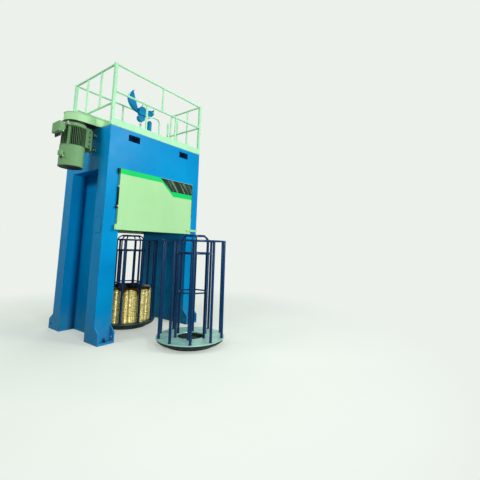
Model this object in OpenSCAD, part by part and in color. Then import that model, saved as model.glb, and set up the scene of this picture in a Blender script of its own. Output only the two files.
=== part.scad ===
// Portal coiler of a wire drawing machine: a welded portal that carries the coiling
// block, its drive and a railed deck, with a loaded coil carrier under the block and an
// empty carrier in front. The origin is on the floor under the axis of the block, +Y
// points to the back and +X to the right as seen from the front.

/* [Portal] */
// Width of the portal over its columns
portal_w = 2120; // [1960:10:2500]
// Depth of the portal over its columns
portal_d = 1440; // [1380:10:1700]
// Height of the portal from the floor to the top of its beams
portal_h = 3550; // [3450:10:4000]
// Distance from the front face back to the axis of the block
axis_back = 760; // [720:5:800]
// Width of a column across the front
column_w = 280; // [220:5:300]
// Depth of a column
column_d = 280; // [220:5:300]
// Height of the beams at the top
beam_h = 735; // [680:5:760]
// Depth of the front and rear beams
beam_t = 240; // [180:5:280]
// Wall of the front beam behind its lifting windows
beam_wall = 12; // [8:1:20]
// Width of a lifting window
lift_w = 235; // [160:5:280]
// Height of a lifting window
lift_h = 120; // [80:5:160]
// Distance from a lifting window to the column beside it
lift_side = 70; // [50:5:110]
// Distance from a lifting window up to the deck
lift_drop = 70; // [40:5:100]
// Thickness of the side webs
web_t = 20; // [10:1:40]
// Rounding of the columns' and beams' long edges
edge_r = 8; // [3:1:12]

/* [Feet] */
// Reach of a foot ear in front of its column
ear_reach = 120; // [90:5:160]
// Height of a foot ear at the column
ear_h = 260; // [200:5:320]
// Height of a foot ear at its tip
ear_tip_h = 170; // [110:5:190]
// Thickness of a foot ear
ear_t = 20; // [12:1:30]
// Diameter of the lug hole through the ears of a foot
lug_d = 46; // [30:1:60]
// Distance from the lug hole to the column's face
lug_out = 45; // [35:1:60]
// Height of the lug hole over the floor
lug_z = 85; // [65:1:100]
// Thickness of the anchor tongue between two ears
tongue_t = 30; // [20:1:50]
// Diameter of an anchor hole
anchor_d = 27; // [18:1:36]
// Distance from an anchor hole to the column's face
anchor_out = 65; // [50:1:80]

/* [Deck and railing] */
// Thickness of the deck plate
deck_t = 10; // [6:1:16]
// Height of the toe boards
toe_h = 120; // [100:5:150]
// Thickness of the toe boards
toe_t = 5; // [3:1:6]
// Height of the railing over the deck
rail_h = 1120; // [1050:10:1200]
// Height of the middle rails over the deck
mid_h = 610; // [500:5:700]
// Height of the left side's lower rail over the deck
low_h = 395; // [300:5:450]
// Diameter of the rails and balusters
rail_d = 38; // [30:1:42]
// Side of a corner post
post_w = 50; // [46:1:60]
// Bend radius of the rails' ends
rail_bend = 80; // [60:5:100]
// Clear way between the railing's ends at the ladder
ladder_gap = 400; // [360:10:450]
// Distance from the portal's right face to the ladder's middle
ladder_off = 215; // [180:5:240]
// Clear width of the ladder
ladder_w = 330; // [300:10:360]

/* [Guard] */
// Width of the front guard
guard_w = 1680; // [1660:10:1900]
// Height of the front guard
guard_h = 1040; // [1000:5:1060]
// Depth of the guard's folded edges
guard_t = 45; // [30:1:60]
// Thickness of the guard's sheet
sheet_t = 4; // [2:0.5:6]
// Width of the green band on the guard
band_w = 90; // [60:5:120]
// Height of the window in the guard
window_h = 235; // [180:5:260]
// Thickness of the window
glass_t = 5; // [4:1:8]

/* [Drive] */
// Radius of the motor's fan cowl and flange
motor_r = 190; // [150:5:200]
// Distance from the motor's axis to the portal's left face
motor_out = 350; // [325:5:380]
// Distance from the motor's axis back from the portal's front face
motor_back = 520; // [480:5:560]
// Length of the motor's finned body
motor_body_h = 320; // [240:5:340]
// Length of the fan cowl
cowl_h = 350; // [280:5:400]
// Height of the belt guard
belt_h = 135; // [100:5:160]
// Radius of the belt guard round the motor's pulley
belt_small_r = 170; // [150:5:180]
// Radius of the belt guard round the block's pulley
belt_big_r = 490; // [450:5:540]
// Radius of the coiling block's working face
block_r = 370; // [320:5:400]
// Height of the coiling block
block_h = 640; // [500:10:700]

/* [Wire guide] */
// Outer radius of the hood's tall leaf over the wire guide
tall_r = 260; // [240:2:280]
// Outer radius of the hood's low leaf beside the bearing block
low_r = 173; // [150:1:190]
// Depth of the hood's rim
hood_depth = 60; // [40:5:90]
// Thickness of the hood's rim and plate
hood_wall = 10; // [6:1:14]
// Height of the hood's centre over the belt guard
guide_up = 860; // [800:5:900]
// Tilt of the hood's face, in degrees
hood_tilt = 9; // [0:1:20]
// Radius of the grooved guide roller
roller_r = 36; // [30:1:40]
// Radius of the roller's axle
axle_r = 9; // [7:1:12]
// Diameter of the guide's slim post
guide_post_d = 34; // [28:1:50]
// Diameter of the round-headed post beside the guide
side_post_d = 96; // [80:2:120]

/* [Coil carriers] */
// Distance from the loaded carrier forward to the empty one
carrier_pitch = 1790; // [1600:10:2000]
// Radius of a carrier's base disc
disc_r = 545; // [500:5:580]
// Height of the disc's upper face over the floor
disc_top = 120; // [110:5:160]
// Thickness of the base disc
disc_t = 15; // [10:1:25]
// Radius of the disc's centre hole
disc_hole_r = 215; // [180:5:225]
// Radius of the circle of outer bars
cage_r = 512; // [490:1:540]
// Number of outer bars
cage_bars = 10; // [8:1:12]
// Diameter of the outer bars
bar_d = 42; // [30:1:48]
// Height of the cage's top ring over the floor
cage_top = 1650; // [1450:10:1700]
// Radius of the circle of inner bars
stem_r = 258; // [245:1:300]
// Number of inner bars
stem_bars = 6; // [5:1:8]
// Diameter of the inner bars
stem_bar_d = 40; // [26:1:42]
// Diameter of the rods of the rings and the dome
rod_d = 24; // [16:1:30]
// Height of the stem's lower ring over the floor
stem_low = 810; // [700:10:900]
// Height of the stem's upper ring over the floor
stem_ring = 1450; // [1350:10:1480]
// Height of the dome's top over the floor
stem_top = 1735; // [1690:5:1745]
// Height of the copper coil over the disc
coil_h = 650; // [300:10:1000]
// Outer radius of the copper coil
coil_r = 470; // [430:5:480]

/* [Hidden] */
$fn = 64;

blue = [0.0, 0.52, 0.78];
dark_blue = [0.07, 0.16, 0.36];
mint = [0.68, 0.90, 0.70];
green = [0.06, 0.75, 0.40];
motor_green = [0.42, 0.58, 0.40];
dark = [0.10, 0.12, 0.12];
steel = [0.70, 0.74, 0.70];
copper = [0.88, 0.70, 0.36];

front_y = -axis_back;
rear_y = portal_d - axis_back;
half_w = portal_w / 2;
inner_x = half_w - column_w;
beam_z = portal_h - beam_h;
deck_z = portal_h + deck_t;
eps = 1;

ladder_y0 = rear_y - post_w / 2 - rail_d / 2 - ladder_gap;
rail_plane = post_w / 2;
top_rail_z = deck_z + rail_h - rail_d / 2;
mid_rail_z = deck_z + mid_h;
low_rail_z = deck_z + low_h;

guard_top = beam_z + 15;
guard_z = guard_top - guard_h;
window_slant = 280;

motor_x = -half_w - motor_out;
motor_y = front_y + motor_back;
belt_top = deck_z + belt_h;
shield_h = 85;
motor_gap = 15;
shield_top = deck_z - motor_gap;
shield_z = shield_top - shield_h;
body_z = shield_z - motor_body_h;
cowl_z = body_z - cowl_h;
stator_r = motor_r - 24;
bracket_t = 25;
bracket_gap = 90;
bracket_y = 240;

block_top = beam_z + 60;
block_z = block_top - block_h;
housing_flange_r = 330;
housing_flange_t = 30;
cross_h = 220;
cross_x = 260;
cross_w = 100;
cross_z = portal_h - cross_h;
housing_r = 150;
spindle_r = 75;

running = 0.05;
seat_gap = 0.3;

base_r = 400;
base_t = 30;
pin_r = 60;
pin_top = disc_top - disc_t - 20;
dish_r = disc_r - 8;
dish_foot_r = 450;
dish_z = base_t + 6;
bar_turn = 9;
stem_turn = 38;

// A box between two corners
module span(a, b) {
  translate(a) cube(b - a);
}

// A round bar along one axis, from its centre line's start
module bar_x(p, len, d) {
  translate(p) rotate([0, 90, 0]) cylinder(h = len, d = d);
}

module bar_y(p, len, d) {
  translate(p) rotate([-90, 0, 0]) cylinder(h = len, d = d);
}

module bar_z(p, len, d) {
  translate(p) cylinder(h = len, d = d);
}

// A column with its outermost edge rounded, at the corner that sx and sy point to
module column_solid(sx, sy) {
  translate([sx * (half_w - column_w / 2),
             sy > 0 ? rear_y - column_d / 2 : front_y + column_d / 2, 0])
    linear_extrude(portal_h) {
      difference() {
        square([column_w, column_d], center = true);
        translate([sx * column_w / 2, sy * column_d / 2]) square(2 * edge_r, center = true);
      }
      translate([sx * (column_w / 2 - edge_r), sy * (column_d / 2 - edge_r)]) circle(r = edge_r);
    }
}

module columns() {
  color(blue) for (sx = [-1, 1], sy = [-1, 1]) column_solid(sx, sy);
}

// One foot: two ears with a lug hole through both, and the anchor tongue between them
module foot_solid() {
  difference() {
    union() {
      for (x = [-column_w / 2, column_w / 2 - ear_t])
        translate([x, 0, 0]) rotate([90, 0, 90]) linear_extrude(ear_t)
          polygon([[0, 0], [-ear_reach, 0], [-ear_reach, ear_tip_h], [0, ear_h]]);
      span([-column_w / 2 + ear_t - eps, -ear_reach, 0], [column_w / 2 - ear_t + eps, 0, tongue_t]);
    }
    bar_x([-column_w / 2 - eps, -lug_out, lug_z], column_w + 2 * eps, lug_d);
    translate([0, -anchor_out, -eps]) cylinder(h = tongue_t + 2 * eps, d = anchor_d);
  }
}

// The four feet point away from the portal, to the front and to the back
module column_feet() {
  color(blue) for (s = [-1, 1], row = [-1, 1])
    translate([s * (half_w - column_w / 2), row > 0 ? rear_y : front_y, 0])
      rotate([0, 0, row > 0 ? 180 : 0]) foot_solid();
}

// The plates that close the sides between the columns, flush with their inner faces
module side_webs() {
  color(blue) for (s = [-1, 1])
    span([s > 0 ? inner_x : -inner_x - web_t, front_y + column_d, 0],
         [s > 0 ? inner_x + web_t : -inner_x, rear_y - column_d, beam_z]);
}

// The beams of the two sides and the back
module portal_beams() {
  color(blue) {
    for (x = [-half_w, inner_x])
      span([x, front_y + column_d, beam_z], [x + column_w, rear_y - column_d, portal_h]);
    span([-inner_x, rear_y - beam_t, beam_z], [inner_x, rear_y, portal_h]);
  }
}

// The front beam, a box whose front plate has two lifting windows
module front_beam() {
  color(blue) difference() {
    span([-inner_x, front_y, beam_z], [inner_x, front_y + beam_t, portal_h]);
    for (s = [-1, 1])
      translate([s * (inner_x - lift_side - lift_w / 2), front_y + (beam_t - beam_wall) / 2 - eps,
                 portal_h - lift_drop - lift_h / 2])
        cube([lift_w, beam_t - beam_wall + 2 * eps, lift_h], center = true);
  }
}

// Two beams under the deck that carry the block's spindle
module cross_beams() {
  color(blue) for (s = [-1, 1])
    span([s * cross_x - cross_w / 2, front_y + beam_t, cross_z],
         [s * cross_x + cross_w / 2, rear_y - beam_t, portal_h]);
}

module deck_plate() {
  color(mint) difference() {
    span([-half_w, front_y, portal_h], [half_w, rear_y, deck_z]);
    translate([0, 0, portal_h - eps]) cylinder(h = deck_t + 2 * eps, r = housing_r + 10);
  }
}

module toe_boards() {
  color(mint) {
    span([-half_w + post_w, front_y, deck_z], [half_w - post_w, front_y + toe_t, deck_z + toe_h]);
    span([-half_w + post_w, rear_y - toe_t, deck_z], [half_w - post_w, rear_y, deck_z + toe_h]);
    span([half_w - toe_t, front_y + post_w, deck_z], [half_w, ladder_y0, deck_z + toe_h]);
  }
}

end_rail_x = half_w - rail_plane - 20;
end_post_top = top_rail_z - rail_bend;
right_baluster = 0.29;

// Short upright bars: the upper and the lower ones are staggered on the front
module balusters() {
  low_len = mid_rail_z - rail_d / 2 - deck_z;
  up_len = top_rail_z - mid_rail_z - rail_d;
  side_up = top_rail_z - low_rail_z - rail_d;
  up_z = mid_rail_z + rail_d / 2;
  right_y = front_y + right_baluster * portal_d;
  for (y = [front_y + rail_plane, rear_y - rail_plane]) {
    bar_z([0, y, up_z], up_len, rail_d);
    for (s = [-1, 1])
      bar_z([s * portal_w / 6, y, deck_z], low_len, rail_d);
  }
  for (k = [1, 2])
    bar_z([-half_w + rail_plane, front_y + k * portal_d / 3, low_rail_z + rail_d / 2],
          side_up, rail_d);
  bar_z([half_w - rail_plane, right_y, deck_z], low_len, rail_d);
  bar_z([half_w - rail_plane, right_y, up_z], up_len, rail_d);
}

// Three square corner posts, the two round posts beside the ladder and the balusters
module railing_posts() {
  color(mint) {
    balusters();
    for (p = [[-half_w, front_y], [half_w - post_w, front_y], [-half_w, rear_y - post_w]])
      translate([p[0], p[1], deck_z]) cube([post_w, post_w, rail_h]);
    bar_z([half_w - rail_plane, ladder_y0, deck_z], end_post_top - deck_z, rail_d);
    bar_z([end_rail_x, rear_y - rail_plane, deck_z], end_post_top - deck_z, rail_d);
  }
}

// A quarter bend of a rail from +X down to -Z, starting at the origin
module rail_end() {
  translate([0, 0, -rail_bend]) rotate([90, 0, 0])
    rotate_extrude(angle = 90) translate([rail_bend, 0]) circle(d = rail_d);
}

// The top rails and the rails below them
module handrails() {
  rail_len = portal_w - 2 * post_w;
  color(mint) {
    bar_x([-half_w + post_w, front_y + rail_plane, top_rail_z], rail_len, rail_d);
    bar_y([-half_w + rail_plane, front_y + post_w, top_rail_z], portal_d - 2 * post_w, rail_d);
    union() {
      bar_y([half_w - rail_plane, front_y + post_w, top_rail_z],
            ladder_y0 - rail_bend - front_y - post_w, rail_d);
      translate([half_w - rail_plane, ladder_y0 - rail_bend, top_rail_z])
        rotate([0, 0, 90]) rail_end();
    }
    union() {
      bar_x([-half_w + post_w, rear_y - rail_plane, top_rail_z],
            end_rail_x - rail_bend + half_w - post_w, rail_d);
      translate([end_rail_x - rail_bend, rear_y - rail_plane, top_rail_z]) rail_end();
    }
    bar_x([-half_w + post_w, front_y + rail_plane, mid_rail_z], rail_len, rail_d);
    bar_y([-half_w + rail_plane, front_y + post_w, low_rail_z], portal_d - 2 * post_w, rail_d);
    bar_y([half_w - rail_plane, front_y + post_w, mid_rail_z],
          ladder_y0 - rail_d / 2 - front_y - post_w, rail_d);
    bar_x([-half_w + post_w, rear_y - rail_plane, mid_rail_z],
          end_rail_x - rail_d / 2 + half_w - post_w, rail_d);
  }
}

ladder_x = half_w + ladder_off;
ladder_mid = ladder_y0 + rail_d / 2 + ladder_gap / 2;
stile_w = 50;
stile_t = 14;
rung_d = 28;
rung_step = 280;
bracket_h = 50;
bracket_z = [portal_h * 0.1, portal_h * 0.4, portal_h * 0.7, portal_h - 120];

// The stiles of a fixed ladder on the right side, under the open end of the railing
module ladder_stiles() {
  color(mint) for (y = [ladder_mid - ladder_w / 2 - stile_t, ladder_mid + ladder_w / 2])
    span([ladder_x - stile_w / 2, y, 0], [ladder_x + stile_w / 2, y + stile_t, top_rail_z]);
}

module ladder_rungs() {
  color(mint) for (z = [rung_step:rung_step:deck_z])
    bar_y([ladder_x, ladder_mid - ladder_w / 2, z], ladder_w, rung_d);
}

// Stand-offs from the rear right column to a tie behind the ladder's stiles
module ladder_brackets() {
  tie_x = ladder_x - stile_w / 2;
  arm_y = rear_y - column_d + 60;
  color(mint) for (z = bracket_z) {
    span([half_w, arm_y, z], [tie_x - stile_t, arm_y + stile_t, z + bracket_h]);
    span([tie_x - stile_t, ladder_mid - ladder_w / 2 - stile_t, z],
         [tie_x, ladder_mid + ladder_w / 2 + stile_t, z + bracket_h]);
  }
}

// Outline of the slanted window in the guard's plane
function window_points(in) = [
  [0, -in], [guard_w / 2 - in, -in], [guard_w / 2 - in, -window_h + in],
  [window_slant, -window_h + in]
];

module guard_panel() {
  color(mint) translate([0, front_y - guard_t, guard_top]) difference() {
    span([-guard_w / 2, 0, -guard_h], [guard_w / 2, guard_t, 0]);
    span([-guard_w / 2 + sheet_t, sheet_t, -guard_h + sheet_t],
         [guard_w / 2 - sheet_t, guard_t + eps, -sheet_t]);
    rotate([90, 0, 0]) translate([0, 0, -sheet_t - eps]) linear_extrude(sheet_t + 2 * eps)
      polygon(window_points(sheet_t));
  }
}

module guard_window() {
  color([0.2, 0.33, 0.25, 0.8]) translate([0, front_y - guard_t, guard_top])
    rotate([90, 0, 0]) translate([0, 0, -sheet_t - glass_t]) linear_extrude(glass_t)
      polygon(window_points(sheet_t));
}

band_t = 1.5;

// The green band: along the top, down beside the window and under it
module guard_band() {
  color(green) translate([0, front_y - guard_t, guard_top])
    rotate([90, 0, 0]) linear_extrude(band_t) polygon([
      [-guard_w / 2, 0], [0, 0], [0, -sheet_t], [window_slant, -window_h + sheet_t],
      [guard_w / 2, -window_h + sheet_t],
      [guard_w / 2, -window_h - band_w], [window_slant + band_w * 0.6, -window_h - band_w],
      [band_w * 0.6, -band_w], [-guard_w / 2, -band_w]
    ]);
}

sill_h = 40;
sill_t = 18;
sill_up = 50;
sill_in = 120;
sill_end = 50;
block_out = 50;
block_w = 145;
sill_block_h = 90;

// The bar under the guard's foot with a bearing block at its left end
module guard_sill() {
  sill_y = front_y - guard_t;
  color(mint) {
    span([-guard_w / 2 - block_out, sill_y - sill_t, guard_z],
         [-guard_w / 2 - block_out + block_w, sill_y, guard_z + sill_block_h]);
    span([guard_w / 2 - sill_in, sill_y - sill_t, guard_z + sill_up],
         [half_w - sill_end, sill_y, guard_z + sill_up + sill_h]);
  }
}

// The guard on the back, a plain pan
module rear_guard() {
  color(mint) difference() {
    span([-guard_w / 2, rear_y, guard_z], [guard_w / 2, rear_y + guard_t, guard_top]);
    span([-guard_w / 2 + sheet_t, rear_y - eps, guard_z + sheet_t],
         [guard_w / 2 - sheet_t, rear_y + guard_t - sheet_t, guard_top - sheet_t]);
  }
}

tangent_in = 0.5;

// Outline of a belt guard round two pulleys: two circles and, a little inside them, tangents
module belt_outline(p0, r0, p1, r1) {
  in0 = r0 - tangent_in;
  in1 = r1 - tangent_in;
  v = p1 - p0;
  len = norm(v);
  base = atan2(v[1], v[0]);
  lean = acos((r0 - r1) / len);
  translate(p0) circle(r = r0);
  translate(p1) circle(r = r1);
  polygon([
    p0 + in0 * [cos(base + lean), sin(base + lean)],
    p0 + in0 * [cos(base - lean), sin(base - lean)],
    p1 + in1 * [cos(base - lean), sin(base - lean)],
    p1 + in1 * [cos(base + lean), sin(base + lean)]
  ]);
}

module belt_guard() {
  color(mint) translate([0, 0, deck_z]) linear_extrude(belt_h)
    belt_outline([motor_x, motor_y], belt_small_r, [0, 0], belt_big_r);
}

fins = 40;
fin_w = 7;

module motor_body() {
  color(motor_green) translate([motor_x, motor_y, 0]) {
    translate([0, 0, shield_z]) cylinder(h = shield_top - shield_z, r = motor_r);
    translate([0, 0, shield_top - eps]) cylinder(h = motor_gap + eps, r = motor_r * 0.5);
    translate([0, 0, body_z]) linear_extrude(motor_body_h) {
      circle(r = stator_r);
      for (i = [0:fins - 1])
        rotate(i * 360 / fins) translate([stator_r - 5, -fin_w / 2])
          square([motor_r - 8 - stator_r + 5, fin_w]);
    }
  }
}

cowl_edge = 8;

module motor_cowl() {
  color(motor_green) translate([motor_x, motor_y, cowl_z]) {
    translate([0, 0, cowl_edge]) cylinder(h = cowl_h - cowl_edge, r = motor_r);
    cylinder(h = cowl_edge, r1 = motor_r - cowl_edge, r2 = motor_r);
  }
}

box_w = 250;
box_d = 85;
box_h = 165;
box_drop = 60;
neck_l = 15;
neck_w = 160;
neck_h = 100;
neck_drop = 5;

// What is taken from a piece that is saddled to the motor
module motor_clearance() {
  translate([motor_x, motor_y, body_z - eps]) cylinder(h = shield_top - body_z + 2 * eps, r = motor_r);
}

// The terminal box and the neck that carries it on the motor's flange
module motor_terminal_box() {
  box_x = motor_x - motor_r - neck_l;
  box_top = shield_top - box_drop;
  color(motor_green) {
    span([box_x - box_d, motor_y - box_w / 2, box_top - box_h], [box_x, motor_y + box_w / 2, box_top]);
    difference() {
      span([box_x - eps, motor_y - neck_w / 2, box_top - neck_drop - neck_h],
           [motor_x, motor_y + neck_w / 2, box_top - neck_drop]);
      motor_clearance();
    }
  }
}

foot_w = 60;
foot_rise = 40;
stud_d = 40;
stud_in = 45;
slide_low = 20;
slide_drop = 75;

// The motor's slide plate: two feet to the motor, studs to the side beam
module motor_bracket() {
  slide_x = -half_w - bracket_gap - bracket_t;
  slide_z = body_z - slide_low;
  slide_top = shield_top - slide_drop;
  color(motor_green) {
    span([slide_x, motor_y - bracket_y / 2, slide_z],
         [slide_x + bracket_t, motor_y + bracket_y / 2, slide_top]);
    for (s = [-1, 1], z = [slide_z + stud_in, slide_top - stud_in])
      bar_x([slide_x + bracket_t - eps, motor_y + s * (bracket_y / 2 - stud_in), z],
            bracket_gap + eps, stud_d);
    difference() {
      for (s = [-1, 1])
        translate([0, motor_y + s * (bracket_y - foot_w) / 2, 0])
          span([motor_x, -foot_w / 2, body_z + slide_low], [slide_x + eps, foot_w / 2, shield_z + foot_rise]);
      motor_clearance();
    }
  }
}

spindle_collar_r = 1.6 * spindle_r;

// The flanged bearing housing between the cross beams, and the collar of its spindle below
module spindle_housing() {
  color(dark) {
    translate([0, 0, cross_z - housing_flange_t]) cylinder(h = housing_flange_t, r = housing_flange_r);
    translate([0, 0, cross_z - eps]) cylinder(h = deck_z - cross_z + eps, r = housing_r);
    translate([0, 0, block_top])
      cylinder(h = cross_z - housing_flange_t - block_top + eps, r = spindle_collar_r);
  }
}

lip = 25;
lip_t = 20;
face_h = 220;
face_draft = 12;
skirt_in = 75;
skirt_edge = 15;
boss_h = 40;
boss_foot_r = 2.2 * spindle_r;
boss_r = 2 * spindle_r;

// The coiling block: hub, drawing face under its lip, and the tapered skirt below
module coiling_block() {
  rim_z = block_h - boss_h;
  face_z = rim_z - lip_t - face_h;
  foot_r = block_r - skirt_in;
  color(copper * 0.6) translate([0, 0, block_z]) rotate_extrude() polygon([
    [0, 0], [foot_r, 0], [foot_r + skirt_edge, skirt_edge],
    [block_r - face_draft, face_z - lip_t], [block_r, face_z],
    [block_r, rim_z - 2 * lip_t], [block_r + lip, rim_z - lip_t],
    [block_r + lip, rim_z], [boss_foot_r, rim_z], [boss_r, block_h],
    [0, block_h]
  ]);
}

guide_x = 40;
guide_z = belt_top + guide_up;
roller_x = 20;
roller_y = -62;
roller_w = 30;
end_gap = 5;
lug_t = 12;
lug_r = 26;
cap_r = 16;
cap_t = 6;
tall_at = [-88, -2];
low_at = [112, -129];
bearing_w = 170;
bearing_h = 185;
bearing_x = -110;
bearing_y = -300;
bearing_t = 55;
bearing_cut = 62;
knee_r = 75;
knee_d = 90;
knee_x = -15;
knee_z = guide_z - 343;
slot_h = 20;
neck_side = 60;
post_pad_r = 30;
post_pad_z = knee_z - knee_r - 10;
back_z = -hood_depth / 2;
plate_z = back_z + hood_wall;

// Place for what sits on the hood's tilted axis: local +Z points forward along the axis
module on_guide_axis() {
  translate([guide_x, 0, guide_z]) rotate([90 - hood_tilt, 0, 0]) children();
}

// The slim post that the guide stands on
module guide_post() {
  color(mint) {
    translate([guide_x + knee_x, 0, belt_top]) cylinder(h = 12, r = 60);
    bar_z([guide_x + knee_x, 0, belt_top], post_pad_z - belt_top, guide_post_d);
  }
}

// The part of a disc, with its centre at a point, that lies to the left of a straight edge
module leaf(at, r, from, to) {
  edge = to - from;
  difference() {
    translate(at) circle(r = r);
    translate(from) rotate(atan2(edge[1], edge[0])) translate([-2 * r, -2 * r])
      square([4 * r, 2 * r]);
  }
}

// The tall leaf curves up on the left, its straight edge to the wire
module tall_leaf(r) {
  leaf(tall_at, r, [-98, -185], [-199, 238]);
}

// The low leaf lies on the right of the bearing block, its straight edge on top
module low_leaf(r) {
  leaf(low_at, r, [285, -62], [60, -125]);
}

// The block's front: a rectangle whose upper left corner is cut away
module bearing_outline() {
  difference() {
    translate([bearing_x, bearing_y]) square([bearing_w, bearing_h]);
    translate([bearing_x, bearing_y + bearing_h]) rotate(45) square(bearing_cut, center = true);
  }
}

// The two leaves with their rims, the bearing block in front of them and the knee below
module guide_hood() {
  color(blue) {
    on_guide_axis() {
      translate([0, 0, back_z]) linear_extrude(hood_wall) tall_leaf(tall_r);
      translate([0, 0, back_z]) linear_extrude(hood_depth) difference() {
        tall_leaf(tall_r);
        translate(tall_at) circle(r = tall_r - hood_wall);
      }
      translate([0, 0, back_z]) linear_extrude(hood_wall) low_leaf(low_r);
      translate([0, 0, back_z]) linear_extrude(hood_depth) difference() {
        low_leaf(low_r);
        translate(low_at) circle(r = low_r - hood_wall);
      }
      translate([0, 0, back_z]) linear_extrude(hood_wall + bearing_t) bearing_outline();
      translate([roller_x, roller_y, back_z]) {
        cylinder(h = lug_t, r = lug_r);
        cylinder(h = lug_t + 2 * end_gap + roller_w, r = axle_r);
        translate([0, 0, lug_t + 2 * end_gap + roller_w]) cylinder(h = cap_t, r = cap_r);
      }
      span([roller_x - lug_r, bearing_y + bearing_h - eps, back_z],
           [roller_x + lug_r, roller_y, back_z + lug_t]);
    }
    translate([guide_x + knee_x, 0, knee_z]) {
      bar_y([0, -knee_d / 2, 0], knee_d, 2 * knee_r);
      translate([0, 0, knee_r + slot_h]) cube([neck_side, neck_side, 4 * slot_h], center = true);
    }
    translate([guide_x + knee_x, 0, post_pad_z]) cylinder(h = 20, r = post_pad_r);
  }
}

// The grooved roller on the hood's axle
module guide_roller() {
  groove = 10;
  color(steel) on_guide_axis() translate([roller_x, roller_y, back_z + lug_t + end_gap])
    rotate_extrude() polygon([
      [axle_r + running, 0], [roller_r, 0], [roller_r, groove / 2], [roller_r - groove, roller_w / 2],
      [roller_r, roller_w - groove / 2], [roller_r, roller_w], [axle_r + running, roller_w]
    ]);
}

side_post_x = 250;
side_post_top = guide_z - 325;

// A short post with a rounded head beside the guide
module side_post() {
  color(blue) translate([side_post_x, 0, 0]) {
    translate([0, 0, belt_top]) cylinder(h = 12, r = side_post_d / 2 + 25);
    bar_z([0, 0, belt_top], side_post_top - side_post_d / 2 - belt_top, side_post_d);
    translate([0, 0, side_post_top - side_post_d / 2]) rotate_extrude() intersection() {
      circle(d = side_post_d);
      square(side_post_d);
    }
  }
}

module station_base() {
  cylinder(h = base_t, r = base_r);
  cylinder(h = pin_top, r = pin_r);
}

module station_bases() {
  color(dark) {
    station_base();
    translate([0, -carrier_pitch, 0]) station_base();
  }
}

// The dark dish that turns on the station's pin and carries the disc
module turntable_solid() {
  rotate_extrude() polygon([
    [pin_r + running, base_t + seat_gap], [2 * pin_r, base_t + seat_gap], [2 * pin_r, dish_z],
    [dish_foot_r, dish_z], [dish_r - 35, dish_z + 14], [dish_r - 12, dish_z + 32],
    [dish_r, disc_top - disc_t - 14], [dish_r, disc_top - disc_t],
    [disc_hole_r, disc_top - disc_t], [disc_hole_r, dish_z + 15], [2 * pin_r, dish_z + 15],
    [2 * pin_r, pin_top - 10], [pin_r + running, pin_top - 10]
  ]);
}

module disc_solid() {
  translate([0, 0, disc_top - disc_t]) difference() {
    cylinder(h = disc_t, r = disc_r, $fn = 128);
    translate([0, 0, -eps]) cylinder(h = disc_t + 2 * eps, r = disc_hole_r);
  }
}

module cage_solid() {
  for (i = [0:cage_bars - 1])
    rotate(bar_turn + i * 360 / cage_bars)
      bar_z([cage_r, 0, disc_top], cage_top - rod_d - disc_top, bar_d);
}

module cage_ring_solid() {
  translate([0, 0, cage_top - rod_d]) rotate_extrude($fn = 128)
    translate([cage_r - rod_d / 2, 0]) square([rod_d, rod_d]);
}

dome_r = 150;
dome_ring = 32;
stem_ring_w = 52;

module stem_bars_solid() {
  for (i = [0:stem_bars - 1]) rotate(stem_turn + i * 360 / stem_bars)
    bar_z([stem_r, 0, disc_top], stem_ring - dome_ring - disc_top, stem_bar_d);
}

// The straight rods of the lower ring, their ends saddled to the bars
module stem_rods() {
  half_side = stem_r * sin(180 / stem_bars);
  flat_r = stem_r * cos(180 / stem_bars);
  for (i = [0:stem_bars - 1]) rotate(stem_turn + (i + 0.5) * 360 / stem_bars) difference() {
    bar_y([flat_r, -half_side, stem_low], 2 * half_side, rod_d);
    for (s = [-1, 1])
      bar_z([flat_r, s * half_side, stem_low - rod_d], 2 * rod_d, stem_bar_d);
  }
}

// The upper ring, the thin bars bent inwards from it and the ring on their ends
module stem_dome() {
  bend = stem_r - dome_r;
  shoulder = stem_top - dome_ring / 2 - bend;
  for (i = [0:stem_bars - 1]) rotate(stem_turn + i * 360 / stem_bars) {
    bar_z([stem_r, 0, stem_ring - dome_ring / 2], shoulder - stem_ring + dome_ring / 2, rod_d);
    translate([dome_r, 0, shoulder]) rotate([90, 0, 0])
      rotate_extrude(angle = 90) translate([bend, 0]) circle(d = rod_d);
  }
  for (ring = [[stem_r, stem_ring - dome_ring, stem_ring_w],
               [dome_r, stem_top - dome_ring, 2 * rod_d]])
    translate([0, 0, ring[1]]) rotate_extrude()
      translate([ring[0] - ring[2] / 2, 0]) square([ring[2], dome_ring]);
}

coil_lobes = 22;
coil_in = 300;
lobe_r = 72;
lobe_depth = 34;

// The loops of wire lie in a rosette, so the coil's outside is a ring of round lobes
module copper_coil() {
  color(copper) translate([0, 0, disc_top]) linear_extrude(coil_h) difference() {
    union() {
      circle(r = coil_r - lobe_depth);
      for (i = [0:coil_lobes - 1])
        rotate(i * 360 / coil_lobes) translate([coil_r - lobe_r, 0]) circle(r = lobe_r);
    }
    circle(r = coil_in);
  }
}

module inner_turntable() {
  color(dark) turntable_solid();
}

module inner_disc() {
  color(mint) disc_solid();
}

module inner_cage() {
  color(dark_blue) cage_solid();
}

module inner_cage_ring() {
  color(dark_blue) cage_ring_solid();
}

module inner_stem_bars() {
  color(dark_blue) stem_bars_solid();
}

module inner_stem_links() {
  color(dark_blue) stem_rods();
}

module inner_dome() {
  color(dark_blue) stem_dome();
}

module in_front() {
  translate([0, -carrier_pitch, 0]) children();
}

module outer_turntable() {
  color(dark) in_front() turntable_solid();
}

module outer_disc() {
  color(mint) in_front() disc_solid();
}

module outer_cage() {
  color(dark_blue) in_front() cage_solid();
}

module outer_cage_ring() {
  color(dark_blue) in_front() cage_ring_solid();
}

module outer_stem_bars() {
  color(dark_blue) in_front() stem_bars_solid();
}

module outer_stem_links() {
  color(dark_blue) in_front() stem_rods();
}

module outer_dome() {
  color(dark_blue) in_front() stem_dome();
}

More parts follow.
